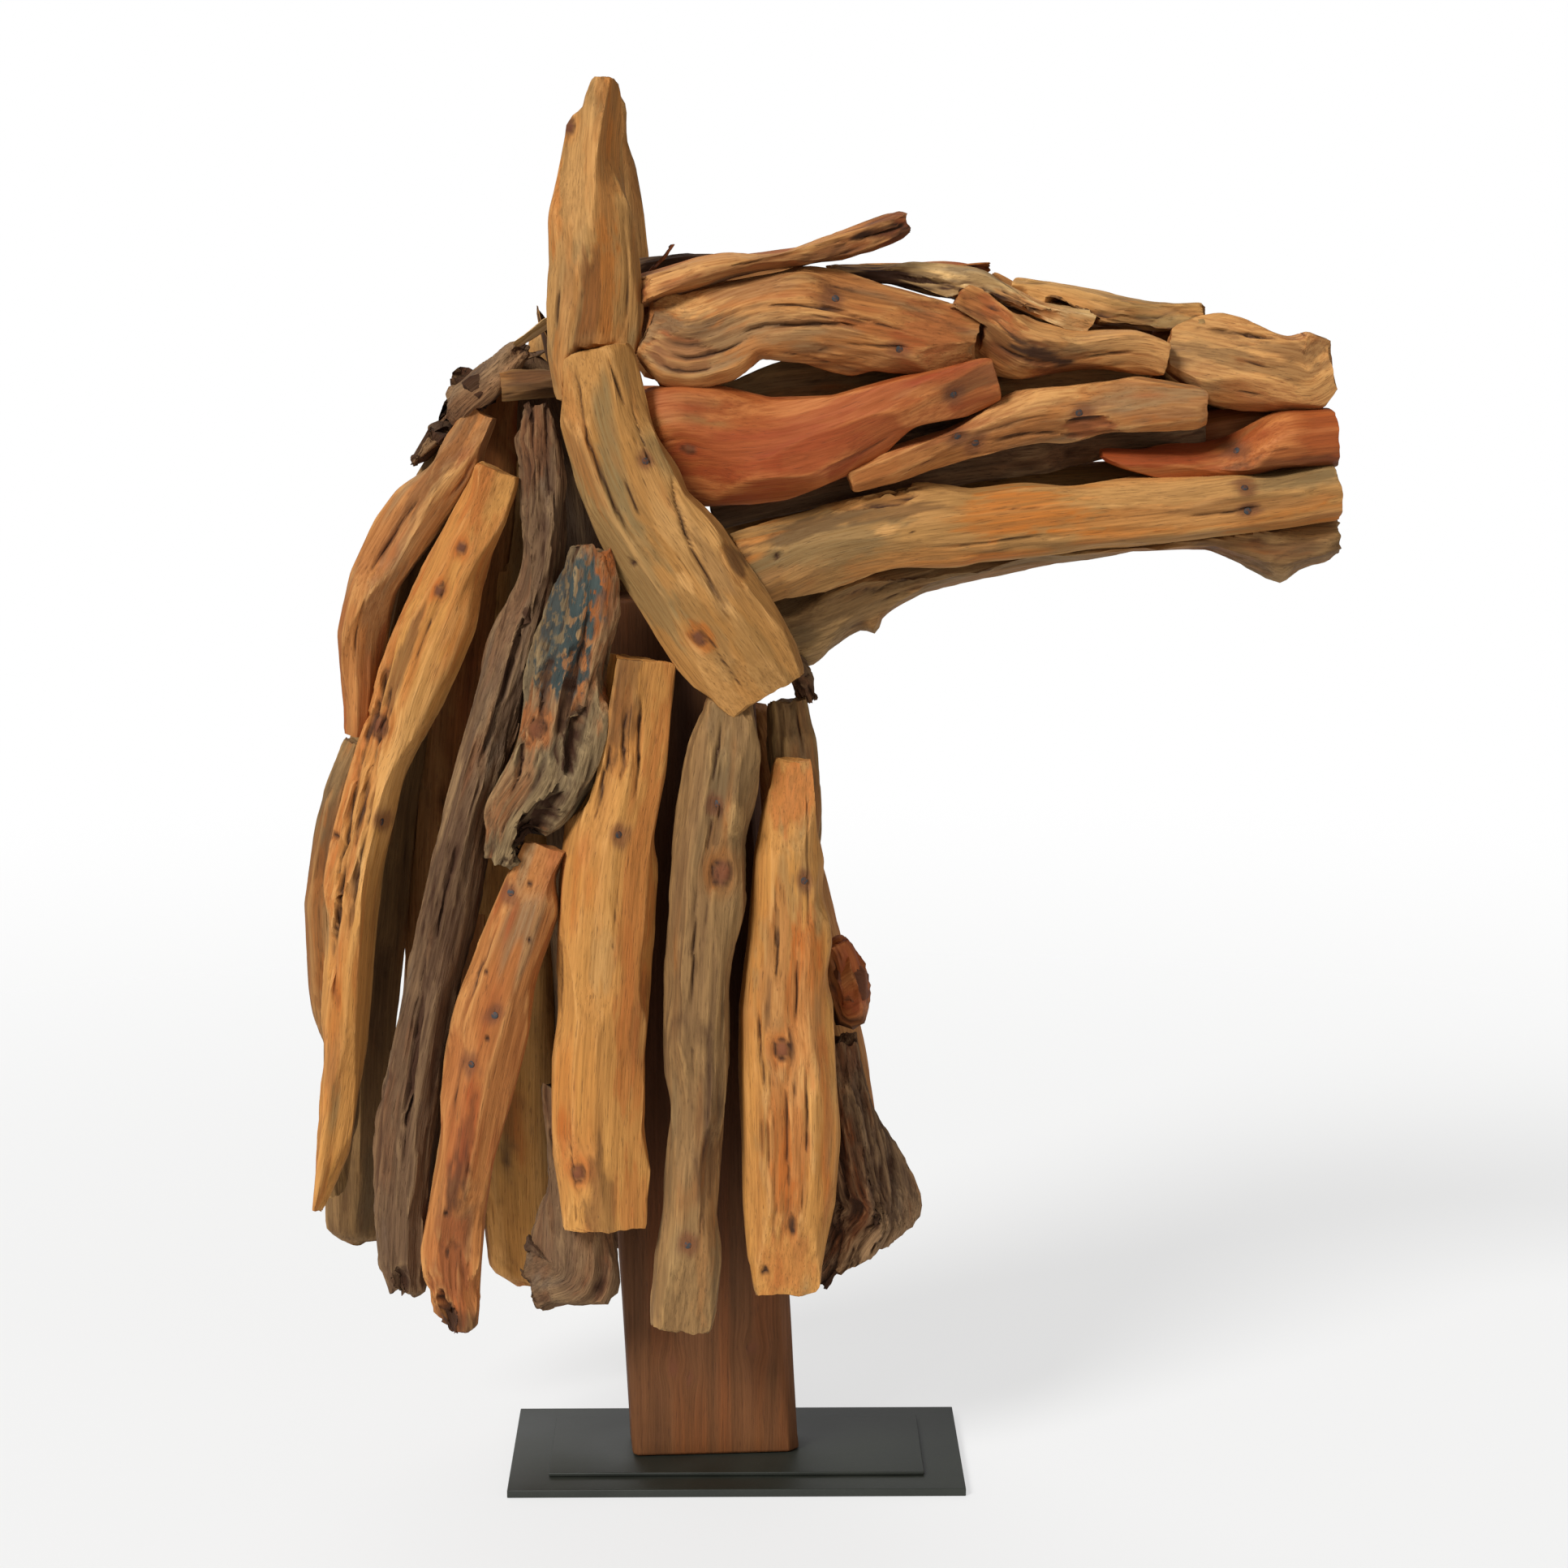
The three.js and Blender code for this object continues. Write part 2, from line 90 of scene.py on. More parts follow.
def linear(shade: str) -> tuple[float, float, float, float]:
    """The linear colour of an sRGB hex value such as "#c49455".

    Args:
        shade: the hex value, with its hash sign.

    Returns:
        Red, green, blue and an alpha of 1.
    """
    parts = [int(shade[i : i + 2], 16) / 255 for i in (1, 3, 5)]
    red, green, blue = (p / 12.92 if p <= 0.04045 else ((p + 0.055) / 1.055) ** 2.4 for p in parts)
    return red, green, blue, 1.0


def ease(value: np.ndarray, low: float, high: float) -> np.ndarray:
    """A smooth step: 0 at low and below, 1 at high and above. Low may be the larger."""
    share = np.clip((value - low) / (high - low), 0, 1)
    return share * share * (3 - 2 * share)


# Large odd numbers that stir the bits of a cell's place, so that its value looks random.
CELL_KEYS = np.array([73856093, 19349663, 83492791])
SEED_KEY = 2654435
STIRS = ((15, 739982445), (12, 695872825))
WORD = 0xFFFFFFFF


def noise(points: np.ndarray, seed: int) -> np.ndarray:
    """Smooth random values from -1 to 1, the same on each run.

    Args:
        points: places of three numbers each, in steps of the pattern.
        seed: which of many patterns to give.

    Returns:
        One value for each place.
    """
    cell = np.floor(points)
    part = points - cell
    blend = part * part * part * (part * (part * 6 - 15) + 10)
    cell = cell.astype(np.int64)
    total = np.zeros(points.shape[:-1])
    for corner in range(8):
        bits = np.array([corner & 1, corner >> 1 & 1, corner >> 2 & 1])
        weight = np.prod(np.where(bits, blend, 1 - blend), axis=-1)
        mixed = ((cell + bits) @ CELL_KEYS + seed * SEED_KEY) & WORD
        for shift, factor in STIRS:
            mixed = (mixed ^ mixed >> shift) * factor & WORD
        total += weight * ((mixed ^ mixed >> 15) / 2**31 - 1)
    return total


def smoothed(values: np.ndarray, steps: float, axis: int, ring: bool) -> np.ndarray:
    """Values blurred along one axis by a bell-shaped weight.

    Args:
        values: the array to blur.
        steps: the bell's standard deviation, in array steps. Below 0.2 nothing is blurred.
        axis: the axis to blur along.
        ring: True where the last value is followed by the first.

    Returns:
        An array of the same shape.
    """
    reach = max(1, math.ceil(steps * 2.5))
    if steps < 0.2 or reach >= values.shape[axis]:
        return values
    bell = np.exp(-0.5 * (np.arange(-reach, reach + 1) / steps) ** 2)
    bell /= bell.sum()
    margins = [(0, 0)] * values.ndim
    margins[axis] = (reach, reach)
    padded = np.pad(values, margins, mode="wrap" if ring else "edge")
    count = np.arange(values.shape[axis])
    return sum(weight * np.take(padded, count + i, axis) for i, weight in enumerate(bell))


def terraces(value: np.ndarray) -> np.ndarray:
    """The value in level steps of 1, with a short slope between each and the next."""
    whole = np.floor(value)
    return whole + ease(value - whole, 0.78, 1.0)


def unit(vectors: np.ndarray) -> np.ndarray:
    """The vectors scaled to length 1."""
    return vectors / np.maximum(np.linalg.norm(vectors, axis=-1, keepdims=True), 1e-12)


def linked(name: str, data: bpy.types.ID) -> bpy.types.Object:
    """Puts a new object into the scene.

    Args:
        name: the object's name.
        data: its mesh, lamp or camera.

    Returns:
        The object.
    """
    made = bpy.data.objects.new(name, data)
    bpy.context.scene.collection.objects.link(made)
    return made


def soften(piece: bpy.types.Object, width: float, segments: int) -> None:
    """Bevels the edges of the selected piece.

    Args:
        piece: the piece, which is the active object.
        width: the bevel's width, in metres.
        segments: how many faces round each edge.
    """
    bevel = piece.modifiers.new("soft edges", "BEVEL")
    bevel.width = width
    bevel.segments = segments
    bpy.ops.object.modifier_apply(modifier=bevel.name)


def keep_vectors(mesh: bpy.types.Mesh, vectors: dict[str, np.ndarray]) -> None:
    """Keeps vectors on a mesh's points, where its material reads them.

    Args:
        mesh: the mesh.
        vectors: an array of one vector for each point, by the attribute's name.
    """
    for name, values in vectors.items():
        layer = mesh.attributes.new(name, "FLOAT_VECTOR", "POINT")
        layer.data.foreach_set("vector", values.ravel().astype(np.float32))


# ---------------------------------------------------------------- the shape of the CAD's sticks


class Run:
    """The bent middle line of a CAD stick, and its outline at any place along it."""

    KNOTS = 21
    PASSES = 2
    REACH = 90 * MM
    THINNEST = 0.5 * MM
    FORWARD = np.array([1.0, 0.0, -0.9])

    def __init__(self, node: str, facing: np.ndarray) -> None:
        """Reads the stick's solid and finds its middle line.

        Args:
            node: the CAD node's name.
            facing: the side that the stick shows, as a direction.
        """
        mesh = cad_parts[node].data
        self.corners = np.empty(len(mesh.vertices) * 3)
        mesh.vertices.foreach_get("co", self.corners)
        self.corners = self.corners.reshape(-1, 3)
        mesh.calc_loop_triangles()
        self.faces = np.array([t.vertices for t in mesh.loop_triangles])
        self.tree = BVHTree.FromPolygons(self.corners.tolist(), self.faces.tolist())
        self.facing = facing
        self._find_line()

    def _find_line(self) -> None:
        """Finds the middle line by slicing across a straight first guess, then across itself."""
        spots = self.corners[self.faces]
        turns = np.cross(spots[:, 1] - spots[:, 0], spots[:, 2] - spots[:, 0])
        sizes = np.linalg.norm(turns, axis=1)
        middles = spots.mean(axis=1)
        centre = (middles * sizes[:, None]).sum(0) / sizes.sum()
        spread = ((middles - centre) * sizes[:, None]).T @ (middles - centre)
        axis = np.linalg.eigh(spread)[1][:, -1]
        if axis @ self.FORWARD < 0:
            axis = -axis
        ends = (self.corners - centre) @ axis
        steps = np.linspace(ends.min() + MM, ends.max() - MM, self.KNOTS)
        line = np.array([self.middle(centre + axis * s, axis) for s in steps])
        for _ in range(self.PASSES):
            line = self._evenly(smoothed(line, 1.0, 0, False))
            slope = unit(np.gradient(line, axis=0))
            line = np.array([self.middle(p, d) for p, d in zip(line, slope)])
        line = smoothed(line, 1.0, 0, False)
        first, last = unit(line[0] - line[2]), unit(line[-1] - line[-3])
        self.line = np.vstack([
            line[0] + first * max(((self.corners - line[0]) @ first).max(), MM),
            line,
            line[-1] + last * max(((self.corners - line[-1]) @ last).max(), MM),
        ])
        self.marks = self._marks(self.line)
        self.length = float(self.marks[-1])

    @staticmethod
    def _marks(line: np.ndarray) -> np.ndarray:
        """Each point's distance from the first, along the line."""
        return np.concatenate([[0.0], np.cumsum(np.linalg.norm(np.diff(line, axis=0), axis=1))])

    @staticmethod
    def _between(wanted: np.ndarray, marks: np.ndarray, line: np.ndarray) -> np.ndarray:
        """Points or directions of a line at wanted distances, from those at its marks."""
        return np.stack([np.interp(wanted, marks, line[:, i]) for i in range(3)], axis=1)

    def _evenly(self, line: np.ndarray) -> np.ndarray:
        """The line's points spread at even distances along it."""
        marks = self._marks(line)
        return self._between(np.linspace(0, marks[-1], self.KNOTS), marks, line)

    def middle(self, place: np.ndarray, along: np.ndarray) -> np.ndarray:
        """The centre of the section that a plane cuts.

        Args:
            place: a point on the plane.
            along: the plane's normal.

        Returns:
            The section's centre of area, or place where the plane misses the stick.
        """
        across, outward = self.frame_at(along)
        height = (self.corners - place) @ along
        spots, levels = self.corners[self.faces], height[self.faces]
        crossed = (levels.min(1) < 0) & (levels.max(1) >= 0)
        ends = []
        for tri, level in zip(spots[crossed], levels[crossed]):
            cut = [
                tri[a] + (tri[b] - tri[a]) * (level[a] / (level[a] - level[b]))
                for a, b in ((0, 1), (1, 2), (2, 0))
                if (level[a] < 0) != (level[b] < 0)
            ]
            turn = np.cross(tri[1] - tri[0], tri[2] - tri[0])
            forward = (cut[1] - cut[0]) @ np.cross(along, turn) > 0
            ends.append(cut if forward else cut[::-1])
        if len(ends) < 3:
            return place
        flat = (np.array(ends) - place) @ np.stack([across, outward], axis=1)
        (x1, y1), (x2, y2) = flat[:, 0].T, flat[:, 1].T
        twist = x1 * y2 - x2 * y1
        area = twist.sum() / 2
        if abs(area) < MM * MM:
            return place
        x, y = ((x1 + x2) * twist).sum() / (6 * area), ((y1 + y2) * twist).sum() / (6 * area)
        return place + across * x + outward * y

    def frame_at(self, along: np.ndarray) -> tuple[np.ndarray, np.ndarray]:
        """The ways across the stick and out of its shown side, for each way along it."""
        outward = unit(self.facing - along * (along @ self.facing)[..., None])
        return np.cross(along, outward), outward

    def at(self, spots: np.ndarray) -> tuple[np.ndarray, np.ndarray]:
        """The middle line at given distances from its first end.

        Args:
            spots: the distances, in metres.

        Returns:
            The line's place at each, and its direction there.
        """
        fine = np.linspace(0, self.length, 80)
        track = self._between(fine, self.marks, self.line)
        slope = unit(smoothed(np.gradient(track, axis=0), 4, 0, False))
        return self._between(spots, self.marks, self.line), unit(self._between(spots, fine, slope))

    def reach(self, centre: np.ndarray, ways: np.ndarray) -> np.ndarray:
        """How far the stick's surface lies from a centre.

        Args:
            centre: a point inside the section.
            ways: directions to look in, one a row.

        Returns:
            The distance in each direction, with gaps filled from both sides.
        """
        found = np.full(len(ways), np.nan)
        for i, way in enumerate(ways):
            start = Vector(centre + way * self.REACH)
            hit = self.tree.ray_cast(start, Vector(-way), self.REACH - 0.3 * MM)[3]
            if hit is not None:
                found[i] = self.REACH - hit
        known = ~np.isnan(found)
        if known.sum() < 3:
            return np.full(len(ways), self.THINNEST)
        place = np.arange(len(ways))
        return np.interp(place, place[known], found[known], period=len(ways))


# ---------------------------------------------------------------- the skin and what is cut in it


@dataclass
class Skin:
    """A stick's surface as a net of points. A row runs round the stick and a column along it."""

    place: np.ndarray
    run: np.ndarray
    length: float
    line: np.ndarray
    along: np.ndarray
    across: np.ndarray
    outward: np.ndarray
    half: np.ndarray
    seed: int
    tones: dict[Tone, np.ndarray] = field(init=False)
    bend: np.ndarray = field(init=False)
    nails: list[tuple[np.ndarray, np.ndarray]] = field(default_factory=list)

    BEHIND = -0.1
    FAR_OFF = 1.0

    def __post_init__(self) -> None:
        """Starts the tones at nothing and the grain straight."""
        self.tones = {tone: np.zeros(self.place.shape[:2]) for tone in Tone}
        self.bend = np.zeros(self.place.shape[:2] + (2,))

    def normals(self) -> np.ndarray:
        """The outward direction at each point of the net."""
        closed = np.concatenate([self.place[:, -1:], self.place, self.place[:, :1]], axis=1)
        return unit(np.cross(np.gradient(self.place, axis=0), closed[:, 2:] - closed[:, :-2]))

    def lift(self, height: np.ndarray) -> None:
        """Moves the surface out by a height, or in where it is less than nothing."""
        self.place += self.normals() * height[..., None]

    def deepen(self, tone: Tone, value: np.ndarray) -> None:
        """Brings a tone up to the value wherever it is lower."""
        self.tones[tone] = np.maximum(self.tones[tone], value)

    def flat(self) -> tuple[np.ndarray, np.ndarray]:
        """Each point's distance along the stick, and its distance across it from the line."""
        sideways = ((self.place - self.line[:, None]) * self.across[:, None]).sum(-1)
        return np.broadcast_to(self.run[:, None], sideways.shape), sideways

    def shown(self) -> np.ndarray:
        """How far each point faces the shown side, from -1 to 1."""
        return (self.normals() * self.outward[:, None]).sum(-1)

    def spot(self, along: float, across: float) -> tuple[float, float]:
        """A place on the shown side, in metres, from its shares along and across."""
        run = along * self.length
        return run, across * float(np.interp(run, self.run, self.half))

    def offset(self, along: float, across: float, both: bool = False) -> tuple[np.ndarray, np.ndarray]:
        """How far each point lies from a place.

        Args:
            along: the place's share along the stick.
            across: its share across it.
            both: True to reach the hidden side too, which is otherwise counted as far off.

        Returns:
            Each point's offset along the stick, and across it.
        """
        run, side = self.spot(along, across)
        runs, sides = self.flat()
        if both:
            return runs - run, sides - side
        return runs - run + np.where(self.shown() < self.BEHIND, self.FAR_OFF, 0.0), sides - side

    def grain(self) -> np.ndarray:
        """Each point's place in the wood.

        Returns:
            Its run along the stick, and its place across and out in the section.
        """
        away = self.place - self.line[:, None]
        x = (away * self.across[:, None]).sum(-1) + self.bend[..., 0]
        y = (away * self.outward[:, None]).sum(-1)
        s = self.run[:, None] + (away * self.along[:, None]).sum(-1) + self.bend[..., 1]
        return np.stack([s, x, y], axis=-1)

    def pattern(self, long: float, wide: float, seed: int) -> np.ndarray:
        """Noise that is stretched along the grain.

        Args:
            long: the size of its blotches along the grain, in millimetres.
            wide: their size across it, in millimetres.
            seed: which of many patterns to give.

        Returns:
            A value from about -1 to 1 for each point.
        """
        scale = 1 / (np.array([long, wide, wide]) * MM)
        shift = np.array([3.1, 7.7, 5.3]) * (self.seed % 97)
        return noise(self.grain() * scale + shift, self.seed + seed)


class Mark:
    """Something that tools, weather or worms did to a stick. Its sizes are millimetres."""

    EARLY = False

    def work(self, skin: Skin) -> None:
        """Shapes and tints the skin."""
        raise NotImplementedError


@dataclass(frozen=True)
class Crack(Mark):
    """An open split that follows the grain. Its path is in shares along and across."""

    path: tuple[tuple[float, float], ...]
    wide: float = 1.3
    deep: float = 3.0

    WANDER = 0.5
    WANDER_LONG = 9

    def work(self, skin: Skin) -> None:
        """Opens the split.

        Args:
            skin: the skin of the stick.
        """
        spots = np.array([skin.spot(*share) for share in self.path])
        run, side = skin.flat()
        steps = np.stack([run / (self.WANDER_LONG * MM), run * 0, run * 0], -1)
        wander = self.WANDER * MM * noise(steps, skin.seed + 5)
        middle = np.interp(run, spots[:, 0], spots[:, 1]) + wander
        reach = spots[-1, 0] - spots[0, 0]
        share = np.clip((run - spots[0, 0]) / reach, 0, 1)
        taper = np.clip(np.sin(np.pi * share), 0, 1) ** 0.5
        width = (0.3 + self.wide * (0.3 + 0.35 * taper)) * MM
        near = np.exp(-(((side - middle) / width) ** 2))
        near *= taper * (0.75 + 0.25 * skin.pattern(12, 2, 21)) * ease(skin.shown(), -0.1, 0.15)
        skin.lift(-self.deep * MM * near)
        # The split is darkened as well: painted shade in it.
        skin.deepen(DARK, 0.75 * ease(near, 0.25, 1.0))


@dataclass(frozen=True)
class Knot(Mark):
    """A knot, with the grain bending round it."""

    along: float
    across: float
    size: float = 6.0
    rise: float = 0.8

    GROOVE = 0.7
    LONGER = 1.25
    SWIRL = 2.1

    def work(self, skin: Skin) -> None:
        """Raises the knot, rings it with a groove and turns the grain round it.

        Args:
            skin: the skin of the stick.
        """
        ds, dq = skin.offset(self.along, self.across)
        size = self.size * MM
        away = np.hypot(ds / (self.LONGER * size), dq / size)
        skin.bend[..., 0] -= dq * np.exp(-((away / self.SWIRL) ** 2)) * 0.85
        ring = np.exp(-(((away - 1) / 0.22) ** 2))
        skin.lift(self.rise * MM * np.exp(-((away / 0.8) ** 2)) - self.GROOVE * MM * ring)
        skin.deepen(KNOT, ease(away, 1.15, 0.7))
        # The groove round the knot is darkened: painted shade in it.
        skin.deepen(DARK, 0.6 * ring)
        skin.tones[WARM] += 0.7 * np.exp(-(((away - 1.2) / 0.9) ** 2))


@dataclass(frozen=True)
class Hole(Mark):
    """A worm or nail hole."""

    along: float
    across: float
    size: float = 1.6
    deep: float = 2.0

    def work(self, skin: Skin) -> None:
        """Sinks the hole.

        Args:
            skin: the skin of the stick.
        """
        near = np.exp(-((np.hypot(*skin.offset(self.along, self.across)) / (self.size * MM)) ** 2))
        skin.lift(-self.deep * MM * near)
        # The hole is darkened: painted shade in it.
        skin.deepen(DARK, ease(near, 0.15, 0.6))


@dataclass(frozen=True)
class Nail(Mark):
    """An old iron nail, its head a little sunk, with a rust stain in the wood round it."""

    along: float
    across: float

    SINK = 0.9
    DIMPLE = 2.6
    STAIN = (6.5, 2.5)

    def work(self, skin: Skin) -> None:
        """Sinks and stains the wood, and keeps the nail's place for its head.

        Args:
            skin: the skin of the stick.
        """
        ds, dq = skin.offset(self.along, self.across)
        away = np.hypot(ds / 1.3, dq) / MM
        skin.lift(-self.SINK * MM * np.exp(-((away / self.DIMPLE) ** 2)))
        torn = away * (1 + 0.35 * skin.pattern(9, 3, 51))
        skin.deepen(KNOT, 0.75 * ease(torn, *self.STAIN))
        row, column = np.unravel_index(int(away.argmin()), away.shape)
        skin.nails.append((skin.place[row, column].copy(), skin.normals()[row, column]))


@dataclass(frozen=True)
class Patch(Mark):
    """A mark that covers an oval of the stick: its middle, and its half length and width."""

    along: float
    across: float
    long: float
    wide: float

    def away(self, skin: Skin, both: bool = False) -> np.ndarray:
        """How far each point is from the patch's middle, as a share of its size.

        Args:
            skin: the skin of the stick.
            both: True where the patch goes through to the hidden side.

        Returns:
            1 at the oval's edge, and less inside it.
        """
        ds, dq = skin.offset(self.along, self.across, both)
        return np.hypot(ds / (self.long * MM), dq / (self.wide * MM))


@dataclass(frozen=True)
class Torn(Patch):
    """A patch where the outer wood has split away and left ragged fibres."""

    deep: float = 1.2

    def work(self, skin: Skin) -> None:
        """Lowers the patch in long steps.

        Args:
            skin: the skin of the stick.
        """
        patch = ease(self.away(skin) + 0.35 * skin.pattern(30, 3, 61), 1.05, 0.85)
        steps = terraces(skin.pattern(38, 3.2, 62) * 1.5) + 0.4 * skin.pattern(16, 1.6, 63)
        skin.lift(-self.deep * MM * patch * (0.8 + 0.45 * steps))
        # The deeper steps are darkened: painted shade.
        skin.tones[DARK] += 0.5 * patch * ease(steps, 0.2, 1.4)
        skin.tones[WARM] += 0.35 * patch


@dataclass(frozen=True)
class StainAndPaintedLight(Mark):
    """A patch of another tone with soft, grain-torn edges. Most are stains, and a few are painted
    highlights and painted shade.
    """

    tone: Tone
    along: float
    across: float
    long: float
    wide: float
    strength: float = 0.8

    def work(self, skin: Skin) -> None:
        """Tints the patch.

        Args:
            skin: the skin of the stick.
        """
        torn = 0.35 * skin.pattern(14, 2.5, 31) + 0.2 * skin.pattern(5, 1.5, 32)
        away = Patch(self.along, self.across, self.long, self.wide).away(skin) + torn
        skin.tones[self.tone] = skin.tones[self.tone] + self.strength * ease(away, 1.15, 0.75)


@dataclass(frozen=True)
class Hewn(Mark):
    """A flat facet left by a hatchet: the wood beyond a tilted plane is taken off.

    Angle 0 is across the stick and 90 is its shown side. Tilt leans the plane along the grain.
    """

    along: float
    angle: float
    deep: float = 3.0
    tilt: float = 0.0
    long: float = 40.0

    EARLY = True
    FADE = (2.2, 0.6)

    def work(self, skin: Skin) -> None:
        """Takes the wood off.

        Args:
            skin: the skin of the stick.
        """
        row = int(np.abs(skin.run - self.along * skin.length).argmin())
        turn, lean = math.radians(self.angle), math.radians(self.tilt)
        way = math.cos(turn) * skin.across[row] + math.sin(turn) * skin.outward[row]
        way = way * math.cos(lean) + skin.along[row] * math.sin(lean)
        beyond = (skin.place - skin.line[row]) @ way
        limit = beyond[row].max() - self.deep * MM
        window = ease(np.abs(skin.run - skin.run[row]), *(self.long * MM * f for f in self.FADE))
        cut = np.maximum(beyond - limit, 0) * window[:, None]
        skin.place -= cut[..., None] * way
        skin.deepen(LIGHT, 0.2 * ease(cut, 0.2 * MM, 0.8 * MM))


@dataclass(frozen=True)
class Bite(Patch):
    """A piece broken out of an edge or an end."""

    deep: float = 8.0

    EARLY = True
    MOST = 0.75

    def work(self, skin: Skin) -> None:
        """Pushes the surface in towards the middle line, with torn edges.

        Args:
            skin: the skin of the stick.
        """
        torn = 0.3 * skin.pattern(8, 2, 41)
        near = ease(self.away(skin, both=True) + torn, 1.1, 0.6)
        inward = skin.line[:, None] - skin.place
        step = np.minimum(near * self.deep * MM, np.linalg.norm(inward, axis=-1) * self.MOST)
        skin.place += unit(inward) * step[..., None]
        # The broken hollow is darkened: painted shade in it.
        skin.deepen(DARK, 0.45 * near)


@dataclass(frozen=True)
class Swell(Patch):
    """A place where the stick is fuller than its neighbourhood."""

    out: float = 3.0

    EARLY = True

    def work(self, skin: Skin) -> None:
        """Moves the surface away from the middle line."""
        height = self.out * MM * np.exp(-(self.away(skin, both=True) ** 2))
        skin.place += unit(skin.place - skin.line[:, None]) * height[..., None]


# ---------------------------------------------------------------- woods and other finishes


def add_node(tree: bpy.types.NodeTree, kind: str, inputs: dict, out: int | str = 0,
             **settings: object) -> bpy.types.NodeSocket | bpy.types.Node:
    """Adds a shader node and gives one of its outputs.

    Args:
        tree: the material's node tree.
        kind: the node's type, without its ShaderNode prefix.
        inputs: for each input, by name or number, a value or another node's output. Map Range has
            its value at 0, its old ends at 1 and 2 and its new ends at 3 and 4. Mix has its share
            at 0 and its two colours at 6 and 7.
        out: the output to give, by name or number.
        settings: the node's own properties.

    Returns:
        The chosen output socket, or the node itself where it has none.
    """
    node = tree.nodes.new("ShaderNode" + kind)
    for name, value in settings.items():
        setattr(node, name, value)
    for name, value in inputs.items():
        if isinstance(value, bpy.types.NodeSocket):
            tree.links.new(value, node.inputs[name])
        else:
            node.inputs[name].default_value = value
    return node.outputs[out] if node.outputs else node


class Finish:
    """A finish that one material holds, made the first time that it is asked for."""

    title: str

    def material(self) -> bpy.types.Material:
        """Gives the finish's material.

        Returns:
            One material, shared by all that have the finish.
        """
        made = bpy.data.materials.get(self.title)
        if made is None:
            made = bpy.data.materials.new(self.title)
            made.use_nodes = True
            made.node_tree.nodes.clear()
            self.lay(made.node_tree)
        return made

    def lay(self, tree: bpy.types.NodeTree) -> None:
        """Lays the finish's nodes in an empty tree."""
        raise NotImplementedError


